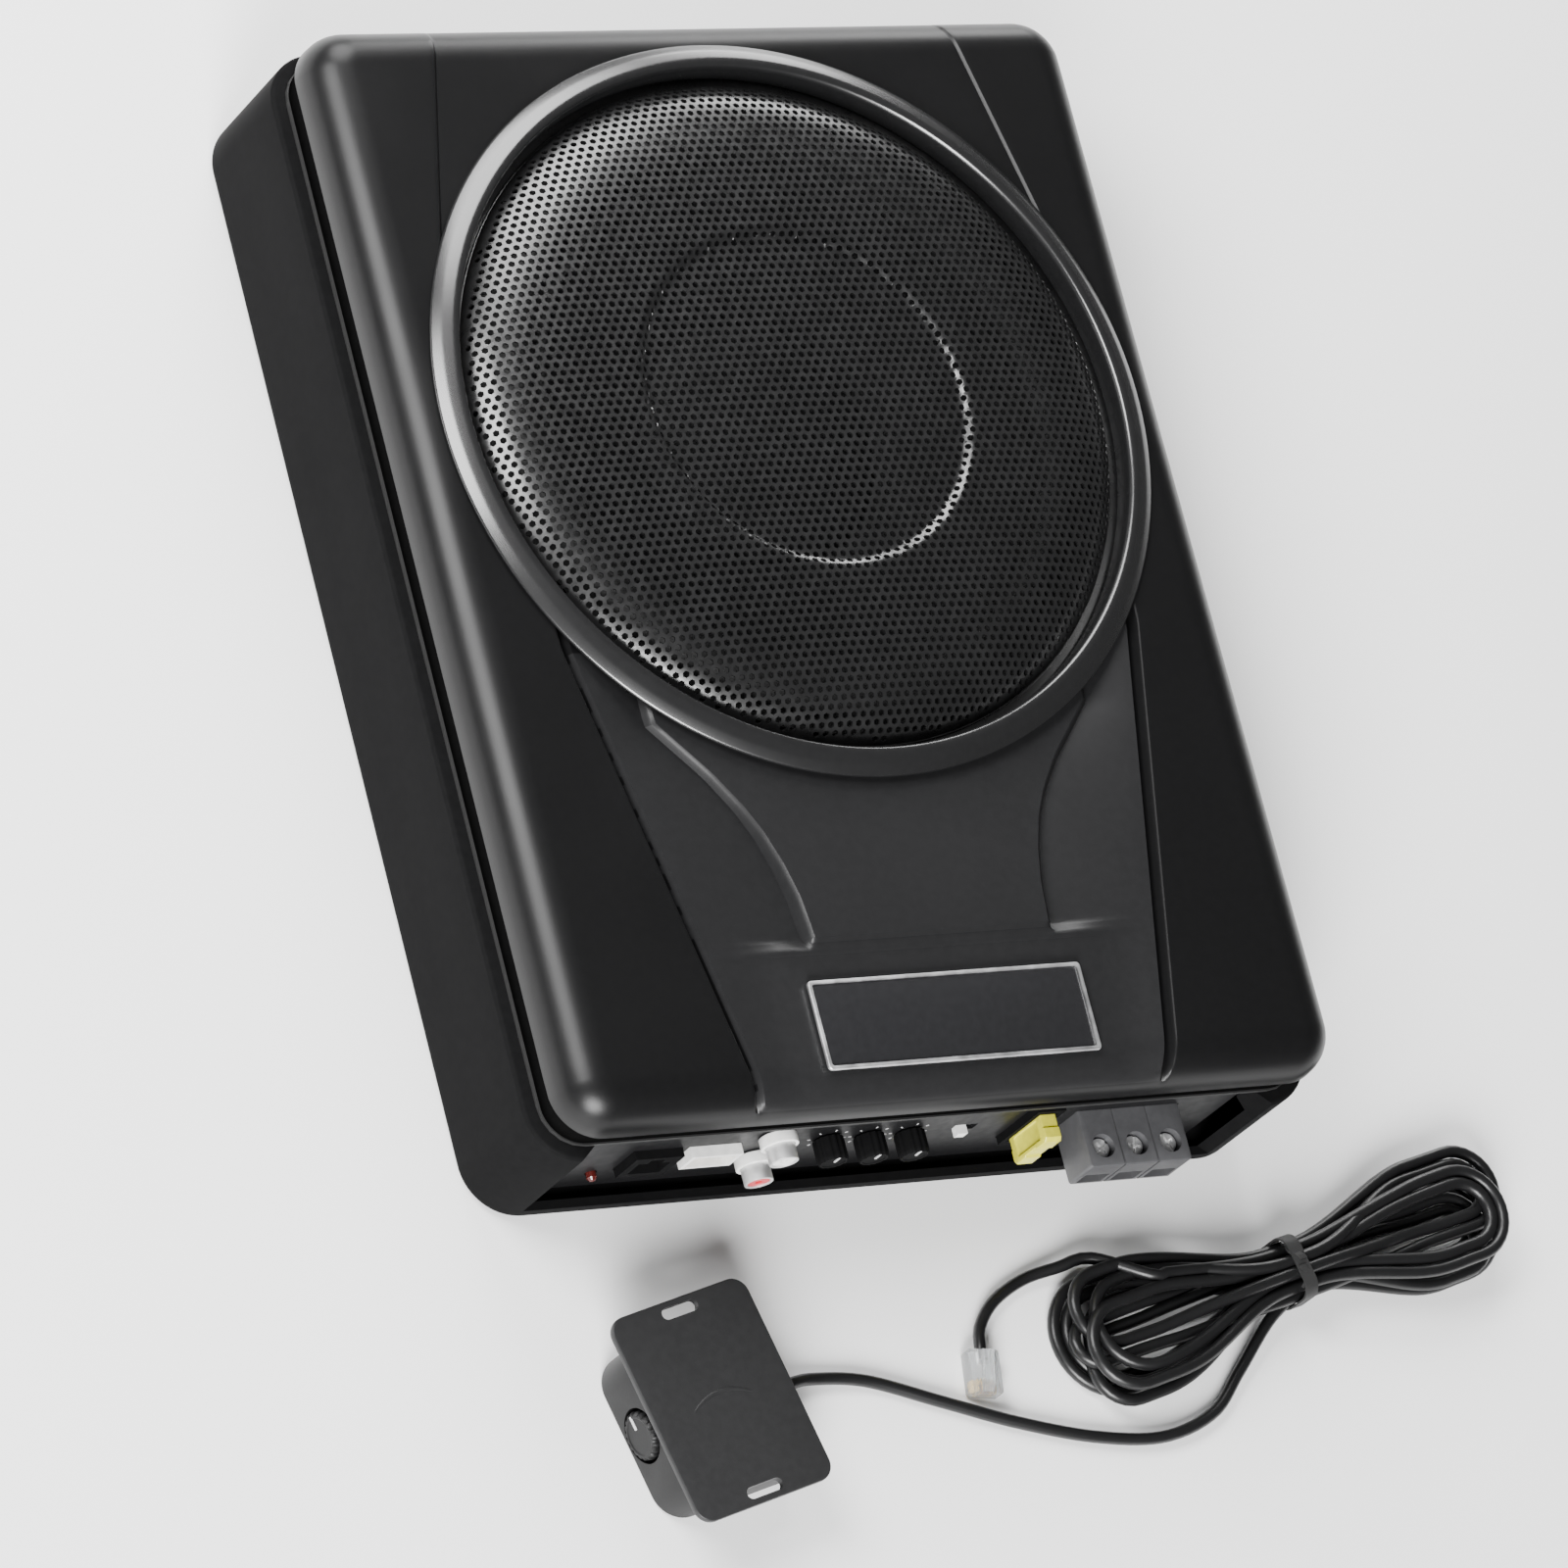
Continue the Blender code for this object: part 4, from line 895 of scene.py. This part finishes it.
def make_surround():
    centre, base = 84.3, 61.9
    roll = [(centre + 6.9 * cos(a), base + 6.9 * sin(a)) for a in np.linspace(0, pi, 17)]
    under = [(centre + 6.1 * cos(a), base + 6.1 * sin(a)) for a in np.linspace(pi, 0, 15)]
    profile = [(96.2, base)] + roll + [(73.6, base), (73.6, 61.1), (78.2, 61.1)] + under[1:-1]
    profile += [(90.4, 61.1), (96.2, 61.1)]
    mesh = turned_mesh("foam_surround", profile, 120, (0, RING_Y, 0))
    piece = add_piece("foam_surround", mesh, None, "rubber", ("cone_surround",), 40)
    set_blend(piece)


def make_spider():
    start, end, waves, steps = 19.8, 53.0, 4, 64
    radii = np.linspace(start, end, steps)
    crest = 32.2 + 1.1 * np.sin(2 * pi * waves * (radii - start) / (end - start))
    top = list(zip(radii, crest))
    bottom = [(r, h - 0.7) for r, h in reversed(top)]
    foot = [(56.0, 32.2), (56.0, 26.3), (54.4, 26.3), (53.6, 31.0)]
    mesh = turned_mesh("cloth_spider", top + foot + bottom, 90, (0, RING_Y, 0))
    piece = add_piece("cloth_spider", mesh, None, "spider_cloth", ("spider",), 40)
    set_blend(piece)


# ---- connector panel

def ribbed_knob(name, radius, front, back, ribs, shaft, deep):
    """Knurled knob about +Z: front face at height front, skirt at back, shaft to deep."""
    verts, count = [], ribs * 4
    levels = [(radius * share, front + drop) for share, drop in (
        (0.0, -0.25), (0.72, -0.25), (0.78, 0.0), (0.9, 0.0), (0.97, -0.5), (1.0, -1.2))]
    levels += [(radius, back + 0.4), (radius * 0.97, back), (shaft, back), (shaft, deep), (0.0, deep)]
    for r, h in levels:
        for k in range(count):
            angle = 2 * pi * k / count
            ribbed = 0.93 if (k % 4 in (0, 1) and r > radius * 0.85) else 1.0
            verts.append((r * ribbed * cos(angle), r * ribbed * sin(angle), h))
    return mesh_from(name, verts, loft_faces(len(levels), count))


def make_panel_knobs():
    for node, x in zip(("gain_knob", "crossover_knob", "boost_knob"), KNOB_X):
        cap = ribbed_knob(node + "_cap", 4.5, 7.4, 0.5, 14, 1.5, -5.5)
        mark = block_mesh(node + "_mark", (-0.35, 0.6, 7.1), (0.35, 3.9, 7.5), 0.1)
        place = on_panel(x, KNOB_Z)
        add_piece(node + "_cap", cap, node + "_body", "black_abs", (node,), place=place)
        add_piece(node + "_mark", mark, node + "_body", "panel_print", place=place)


def make_scales():
    """Tick marks printed round each knob, from low to high."""
    ticks = []
    for x in KNOB_X:
        for k in range(7):
            angle = radians(KNOB_SWEEP * (k / 6 - 0.5))
            tick = block_mesh("tick", (-0.2, 5.2, 0.0), (0.2, 6.1, 0.12), 0.04)
            ticks.append(transformed(tick, on_panel(x, KNOB_Z) @ Matrix.Rotation(angle, 4, "Z")))
    add_piece("panel_ticks", join_meshes("panel_ticks", ticks), CABINET, "panel_print")


def make_rca():
    """Two RCA sockets: plated barrel, pale collar and coloured insert."""
    barrel = [(1.5, 2.4), (3.3, 2.4), (3.3, 8.2), (4.15, 8.2), (4.15, 1.8), (4.15, -1.9), (1.5, -1.9)]
    collar = [(4.3, 0.3), (5.4, 0.3), (5.4, 3.6), (4.3, 3.6)]
    insert = [(1.0, 3.0), (3.2, 3.0), (3.2, 7.9), (1.0, 7.9)]
    for node, z, colour in (("rca_white", 35.0, "white_plastic"), ("rca_red", 19.5, "red_plastic")):
        for suffix, profile, radius, rounds, steps, slot, nodes in (
                ("_barrel", barrel, 0.25, 2, 48, "zinc_steel", (node,)),
                ("_collar", collar, 0.3, 3, 48, "white_plastic", ()),
                ("_insert", insert, 0.2, 2, 40, colour, ())):
            mesh = turned_mesh(node + suffix, rounded_profile(profile, radius, rounds), steps)
            add_piece(node + suffix, mesh, CABINET, slot, nodes, 35, place=on_panel(RCA_X, z))


def make_fuse():
    side = [(9.1, 3.0), (9.1, -5.4), (9.5, -5.8), (9.5, -8.6), (8.5, -9.7), (3.4, -9.7), (3.0, -9.2)]
    outline = [(-x, y) for x, y in side] + side[::-1]
    body = slab_mesh("fuse_body", outline, -2.6, 2.6, 0.35, 3)
    window = block_mesh("window", (-6.6, -8.2, 2.1), (6.6, -2.4, 4), 0.3)
    other = block_mesh("window", (-6.6, -8.2, -4), (6.6, -2.4, -2.1), 0.3)
    body = cut_mesh(body, [window, other])
    # Local X runs up the panel, local Y out of it and local Z across it.
    turn = Matrix(((0, 0, 1, FUSE_X * MM), (0, 1, 0, PANEL_FACE * MM), (1, 0, 0, FUSE_Z * MM), (0, 0, 0, 1)))
    body.transform(turn)
    body.flip_normals()
    add_piece("fuse_body_moulding", body, "fuse_body", "fuse_yellow", ("fuse",), 30)
    blades = [block_mesh("blade", (z - 2.6, 1.5, -0.4), (z + 2.6, 11.6, 0.4), 0.2) for z in (-7.0, 7.0)]
    metal_link = join_meshes("fuse_blades", blades)
    metal_link.transform(turn)
    metal_link.flip_normals()
    add_piece("fuse_blades", metal_link, "fuse_body", "zinc_steel")


def make_terminal_block():
    body = block_mesh("terminal_case", (-TERMINAL_HALF, -16.5, -7.0), (TERMINAL_HALF, 9.0, 7.0), 0.6)
    cutters = []
    for index in range(3):
        x = TERMINAL_PITCH * (index - 1)
        cutters.append(bar_mesh("entry", x, 4.0, (-20.0, -5.6), (-2.0, 0.2), 0.5))
        well = [(0, 12), (3.5, 12), (3.5, 2.2), (2.2, 2.2), (2.2, -2), (0, -2)]
        cutters.append(turned_mesh("well", well, 40, (x, TERMINAL_SCREW_Y, 0), False))
    for x in (-TERMINAL_PITCH / 2, TERMINAL_PITCH / 2):
        cutters.append(bar_mesh("score", x, 0.35, (-20, 6.2), (0.5, 9), 0.1))
        cutters.append(bar_mesh("score", x, 0.35, (-20, -9), (-16.0, 9), 0.1))
    body = cut_mesh(body, cutters)
    place = shift(TERMINAL_X, PANEL_FACE, TERMINAL_Z)
    add_piece("terminal_case", body, CABINET, "terminal_grey", ("terminal_block",), place=place)
    for index in range(3):
        x = TERMINAL_X + TERMINAL_PITCH * (index - 1)
        head = [(0, 5.2), (2.3, 5.2), (2.9, 4.8), (3.0, 4.3), (3.0, 2.6), (1.8, 2.6), (1.8, -2.4), (0, -2.4)]
        screw = turned_mesh("screw", head, 40, closed=False)
        slot = bar_mesh("slot", 0, 4, (-0.45, 4.2), (0.45, 7), 0.05)
        cross = bar_mesh("slot", 0, 0.45, (-1.9, 4.2), (1.9, 7), 0.05)
        screw = cut_mesh(screw, [slot, cross])
        place = (shift(x, PANEL_FACE + TERMINAL_SCREW_Y, TERMINAL_Z)
                 @ Matrix.Rotation(radians(35 + 40 * index), 4, "Z"))
        add_piece(f"clamp_screw_{index + 1}", screw, f"terminal_screw_body_{index + 1}", "zinc_steel",
                  (f"terminal_screw_{index + 1}",), 35, place=place)


def make_socket_pins():
    """Contacts inside the high-level socket and the remote jack."""
    pins = []
    for k in range(4):
        x = SOCKET_X + (k - 1.5) * 3.1
        pins.append(bar_mesh("pin", x, 0.4, (PANEL_FACE - 1.5, 25.6), (PANEL_FACE + 6.2, 26.4), 0.12))
    for k in range(6):
        x = JACK_X + (k - 2.5) * 1.1
        pins.append(bar_mesh("pin", x, 0.2, (PANEL_FACE + 1.0, 20.4), (PANEL_FACE + 8.9, 21.0), 0.1))
    add_piece("socket_contacts", join_meshes("socket_contacts", pins), CABINET, "gold")


# ---- fasteners underneath

def make_cover_screws():
    profile = [(0, 13.5), (2.0, 13.5), (2.0, 1.8), (3.9, 1.8), (3.9, 1.2), (3.4, 0.6), (2.4, 0.3), (0, 0.3)]
    for index, (side_x, side_y) in enumerate(CORNER_SIGNS, start=1):
        screw = turned_mesh("screw", profile, 32, closed=False)
        bars = [bar_mesh("bar", 0, wide, (-deep, -1), (deep, 1.1), 0.05)
                for wide, deep in ((2.2, 0.45), (0.45, 2.2))]
        screw = cut_mesh(screw, bars)
        place = (shift(side_x * COVER_SCREW_X, side_y * COVER_SCREW_Y, 0)
                 @ Matrix.Rotation(0.4 * index, 4, "Z"))
        add_piece(f"case_screw_{index}", screw, CABINET, "zinc_steel", (f"cover_screw_{index}",), 35,
                  place=place)


# ---- wired remote

def remote_matrix():
    return shift(*REMOTE_CENTRE, 0) @ Matrix.Rotation(REMOTE_YAW, 4, "Z")


def make_remote():
    place = remote_matrix()
    half_depth, half_width = REMOTE_DEPTH / 2, REMOTE_WIDTH / 2
    lower = [(-half_depth + 9 + 9 * cos(a), -half_width + 9 + 9 * sin(a))
             for a in np.linspace(pi, 1.5 * pi, 15)]
    lower += [(half_depth - 3 + 3 * cos(a), -half_width + 3 + 3 * sin(a))
              for a in np.linspace(1.5 * pi, 2 * pi, 7)]
    outline = lower + [(x, -y) for x, y in reversed(lower)]
    housing = slab_mesh("remote_case", outline, 0.0, REMOTE_HEIGHT, 1.1, 5)
    knob_z = REMOTE_HEIGHT / 2
    turn = Matrix.Rotation(-pi / 2, 4, "Y")
    pocket = [(0, 25), (8.8, 25), (7.8, 20.4), (7.8, 16.5), (1.9, 16.5), (1.9, 5), (0, 5)]
    pocket = turned_mesh("pocket", pocket, 64, closed=False)
    pocket.transform(shift(0, 0, knob_z) @ turn)
    housing = cut_mesh(housing, [pocket])
    boss = [(1.9, -24.5), (2.6, -24.5), (3.2, -19.0), (1.9, -19.0)]
    boss = turned_mesh("boss", rounded_profile(boss, 0.4, 3), 40)
    boss.transform(shift(0, 0, 6.0) @ turn)
    housing = join_meshes("remote_case", [housing, boss])
    add_piece("remote_case", housing, REMOTE, "black_abs", ("remote_housing",), 30, "remote_abs", place)
    low = REMOTE_HEIGHT + 0.3
    plate = slab_mesh("remote_plate", rounded_rectangle(23.0, 30.5, 5.0, 10), low, low + 2.0, 0.5, 4)
    slot = rounded_rectangle(6.0, 1.7, 1.69, 6)
    slots = [slab_mesh("slot", slot, low - 2, low + 5, 0.01, 1, (0, y, 0)) for y in (-27.0, 27.0)]
    plate = cut_mesh(plate, slots)
    add_piece("remote_plate", plate, REMOTE, "black_abs", ("remote_mount_plate",), 30, "plate_abs", place)
    make_plate_emboss(place, low + 2.0)
    knob = ribbed_knob("remote_dial", 7.0, 22.0, 17.0, 20, 1.6, 6.0)
    turned = place @ shift(0, 0, knob_z) @ turn
    add_piece("remote_dial", knob, "remote_knob_body", "black_abs", ("remote_knob",),
              look="remote_abs", place=turned)
    mark = block_mesh("remote_dial_mark", (-0.4, 2.0, 21.6), (0.4, 6.0, 22.1), 0.12)
    add_piece("remote_dial_mark", mark, "remote_knob_body", "panel_print", place=turned)


def make_plate_emboss(place, top):
    """Shallow curved rib pressed into the plate's top."""
    half_chord, bulge = 10.0, 3.2
    points = []
    for k in range(17):
        t = k / 8 - 1
        points.append(Vector((half_chord * t, bulge * (1 - t * t) - 1.0, top - 0.12)))
    verts, sides = [], 8
    for k, point in enumerate(points):
        ahead = points[min(k + 1, len(points) - 1)] - points[max(k - 1, 0)]
        across = Vector((-ahead.y, ahead.x, 0)).normalized()
        width = 0.75 * sin(pi * (k + 0.6) / (len(points) + 0.2)) ** 0.4
        for s in range(sides):
            angle = 2 * pi * s / sides
            spot = point + across * width * cos(angle) + Vector((0, 0, 0.5 * width * sin(angle)))
            verts.append(tuple(spot))
    mesh = mesh_from("plate_rib", verts, loft_faces(len(points), sides) + end_caps(len(verts), sides))
    add_piece("plate_rib", mesh, REMOTE, "black_abs", (), 40, "plate_abs", place)


# ---- cord, hank and plug

def turned_place(centre, yaw, x, y, z):
    return Vector((centre[0] + cos(yaw) * x - sin(yaw) * y, centre[1] + sin(yaw) * x + cos(yaw) * y, z))


def remote_point(x, y, z):
    return turned_place(REMOTE_CENTRE, REMOTE_YAW, x, y, z)


def hank_point(along, across, z):
    return turned_place(HANK_CENTRE, HANK_YAW, along, across, z)


def smooth_route(points, spacing):
    """Evenly spaced points on a smooth curve through the given route points."""
    dense = spline_points(points, 24)
    kept = [dense[0]]
    travelled = 0.0
    for before, after in zip(dense, dense[1:]):
        travelled += (after - before).length
        if travelled >= spacing:
            kept.append(after)
            travelled = 0.0
    kept.append(dense[-1])
    return kept


# Turns of the hank: middle and reach of each fold across the hank, and its layer
TURN_MIDDLE = (0.0, 0.0, 0.0, -5.6, -5.6, 5.6, 5.6, -2.0, -2.0)
TURN_REACH = (17.2, 13.4, 9.6, 7.8, 11.5, 11.5, 7.8, 9.2, 13.0)
TURN_LAYER = (0, 0, 0, 1, 1, 2, 2, 3, 3)
RIGHT_TIP = (79.0, 75.0, 71.0, 67.5, 71.5, 78.5, 74.0, 71.0, 75.0)
LEFT_TIP = (78.0, 74.0, 69.0, 73.0, 76.0, 72.5, 69.0, 74.5, 0.0)
LEFT_SPREAD = 1.1
LAYER_RISE = 3.55
# Places in the tied waist for the outgoing (front) and returning (back) runs
ROW = 3.12
OUT_SLOTS = ((-5.4, 1), (-3.6, 0), (-1.8, 1), (0.0, 2), (-3.6, 2), (-7.2, 2), (-1.8, 4), (-1.8, 3),
             (-5.4, 3))
BACK_SLOTS = ((3.6, 0), (0.0, 0), (1.8, 1), (3.6, 2), (5.4, 1), (7.2, 2), (1.8, 4), (1.8, 3), (5.4, 3))

# Places on the floor, and the cord's rise over lying flat, before and after the hank
LEAD_ROUTE = ((-16.0, -222.0, 0), (6.0, -230.0, 0), (28.0, -238.0, 0), (52.0, -244.5, 0), (74.0, -246.5, 0),
              (92.0, -241.0, 0), (103.5, -230.0, 0.6))
TAIL_ROUTE = ((53.0, -195.0, 2.0), (42.0, -197.0, 0), (31.0, -202.5, 0), (24.5, -209.5, 0),
              (22.0, -216.0, 1.4), (21.4, -219.5, 1.4))


def floor_points(route):
    return [Vector((x, y, CORD_Z + rise)) for x, y, rise in route]


def fan_place(turn, sign, along):
    """Where a turn's front (-1) or back (+1) run lies across the opened fan, and its height."""
    spread = LEFT_SPREAD if along < 0 else 1.0
    return (TURN_MIDDLE[turn] + sign * TURN_REACH[turn]) * spread, CORD_Z + LAYER_RISE * TURN_LAYER[turn]


def hank_run(turn, start, end, sign, slots):
    """One nearly straight run of the hank between two stations along it."""
    waist = (slots[turn][0], CORD_Z + ROW * slots[turn][1])
    points = []
    count = 22
    for k in range(count + 1):
        along = start + (end - start) * k / count
        open_part = smooth_step(abs(along), 5.0, 52.0)
        fan_across, fan_height = fan_place(turn, sign, along)
        bow = 0.5 * sin(along * 0.09 + turn * 1.7) * open_part * (1 - smooth_step(abs(along), 40, 60))
        across = waist[0] + (fan_across - waist[0]) * open_part + bow
        height = waist[1] + (fan_height - waist[1]) * open_part
        points.append(hank_point(along, across, height))
    return points


def hank_fold(turn, after, tip, side):
    """Half circle at one end of the hank, from one run to the next."""
    first, low = fan_place(turn, -side, side)
    second, high = fan_place(after, side, side)
    radius = abs(second - first) / 2
    middle = (first + second) / 2
    centre = side * (tip - radius)
    points = []
    for k in range(1, 12):
        angle = pi * k / 12
        across = middle - side * cos(angle) * radius
        along = centre + side * radius * sin(angle)
        points.append(hank_point(along, across, low + (high - low) * k / 12))
    return points, centre


def cord_route():
    """Remote, floor, nine turns of the hank and the tail to its plug."""
    exit_x = REMOTE_DEPTH / 2 + 3.8
    points = [remote_point(exit_x - 1.5, 0, 6.0), remote_point(exit_x + 7, 0, 5.2),
              remote_point(exit_x + 16, -0.5, CORD_Z + 0.9)]
    points += floor_points(LEAD_ROUTE) + [hank_point(-10.5, -10.4, 5.0)]
    turns = len(TURN_REACH)
    stop = None
    for turn in range(turns):
        fold, centre = hank_fold(turn, turn, RIGHT_TIP[turn], 1)
        start = 3.0 if turn == 0 else stop
        points += hank_run(turn, start, centre, -1, OUT_SLOTS)
        points += fold
        if turn + 1 < turns:
            fold_left, left = hank_fold(turn, turn + 1, LEFT_TIP[turn], -1)
            points += hank_run(turn, centre, left, 1, BACK_SLOTS)
            points += fold_left
            stop = left
        else:
            points += hank_run(turn, centre, -46.0, 1, BACK_SLOTS)
    points += [hank_point(-58.0, 23.2, 6.5)] + floor_points(TAIL_ROUTE)
    return smooth_route(points, 2.5)


def make_cord():
    route = cord_route()
    curve = bpy.data.curves.new("remote_lead", "CURVE")
    curve.dimensions = "3D"
    curve.bevel_depth = CORD_DIAMETER / 2 * MM
    curve.bevel_resolution = 4
    curve.use_fill_caps = True
    spline = curve.splines.new("POLY")
    spline.points.add(len(route) - 1)
    for point, place in zip(spline.points, route):
        point.co = (*(place * MM), 1.0)
    spline.use_smooth = True
    lead = new_object("remote_lead", curve)
    curve.materials.append(MATERIALS["cord_pvc"])
    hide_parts("remote_cord", "cord_hank", "cord_tail")
    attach(lead, REMOTE)
    tie = make_tie()
    plug = make_plug()


def make_tie():
    """Flat twist tie drawn round the waist, with its two ends twisted on top."""
    wide, tall, corner_radius = 9.7, 16.9, 5.0
    outer = rounded_rectangle(wide, (tall - 0.1) / 2, corner_radius, 8)
    verts, faces = [], []
    for along in (-2.2, 2.2):
        for shrink in (0.0, 0.55):
            for x, y in outer:
                length = hypot(x, y)
                px, py = x * (1 - shrink / length), y * (1 - shrink / length)
                verts.append(tuple(hank_point(along, px, py + tall / 2 + 0.05)))
    count = len(outer)
    for i in range(count):
        j = (i + 1) % count
        a, b, c, d = i, count + i, 2 * count + i, 3 * count + i
        a2, b2, c2, d2 = j, count + j, 2 * count + j, 3 * count + j
        faces += [(a, a2, c2, c), (b, d, d2, b2), (a, b, b2, a2), (c, c2, d2, d)]
    band = mesh_from("twist_tie", verts, faces)
    tails = []
    for side in (-1, 1):
        points = [hank_point(side * 0.8 * cos(t * 5), side * (0.8 + t * 5.5), tall + 0.1 - 3.6 * t * t)
                  for t in np.linspace(0, 1, 14)]
        tails.append(strip_mesh("tie_tail", points, 1.1, 0.45))
    mesh = join_meshes("twist_tie", [band] + tails)
    return add_piece("twist_tie", mesh, REMOTE, "rubber", ("cord_tie",), 40)


def strip_mesh(name, points, half_width, half_thick):
    """Flat band swept along points, wide across the hank's length."""
    along = hank_point(1, 0, 0) - hank_point(0, 0, 0)
    verts = []
    for k, point in enumerate(points):
        ahead = (points[min(k + 1, len(points) - 1)] - points[max(k - 1, 0)]).normalized()
        normal = ahead.cross(along).normalized()
        for a, b in ((-1, -1), (1, -1), (1, 1), (-1, 1)):
            verts.append(tuple(point + along * a * half_width + normal * b * half_thick))
    return mesh_from(name, verts, loft_faces(len(points), 4) + end_caps(len(verts), 4))


def make_plug():
    """Clear modular plug: body, latch tongue and six contacts."""
    place = shift(*PLUG_PLACE, 0) @ Matrix.Rotation(PLUG_YAW, 4, "Z")
    body = block_mesh("plug_body", (-4.8, -13.0, 0.4), (4.8, 0.0, 5.6), 0.5)
    throat = turned_mesh("throat", [(0, 3), (1.95, 3), (1.95, -4), (0, -4)], 24, closed=False)
    throat.transform(shift(0, 0, 3.5) @ Matrix.Rotation(-pi / 2, 4, "X"))
    body = cut_mesh(body, [throat])
    latch_outline = [(-12.6, 5.4), (-10.4, 6.9), (-1.2, 8.3), (-0.8, 7.7), (-7.0, 6.1), (-9.6, 5.4)]
    latch = slab_mesh("latch", latch_outline, -1.6, 1.6, 0.15, 2)
    latch.transform(Matrix(((0, 0, 1, 0), (1, 0, 0, 0), (0, 1, 0, 0), (0, 0, 0, 1))))
    mesh = join_meshes("plug_shell", [body, latch])
    shell = add_piece("plug_shell", mesh, REMOTE, "clear_plastic", ("modular_plug",), place=place)
    contacts = [bar_mesh("contact", (k - 2.5) * 1.02, 0.18, (-12.4, 1.0), (-8.6, 4.6), 0.08)
                for k in range(6)]
    pins = join_meshes("plug_contacts", contacts)
    add_piece("plug_contacts", pins, REMOTE, "gold", place=place)
    return shell


# ---- assembly

MATERIALS = make_materials()
make_camera()
make_stage()
paint_cad_nodes(MATERIALS)
make_cord()
make_tray()
finish_cover()
make_trim_ring()
make_grille()
make_badge()
make_surround()
make_spider()
make_panel_knobs()
make_scales()
make_rca()
make_fuse()
make_terminal_block()
make_socket_pins()
make_cover_screws()
make_remote()
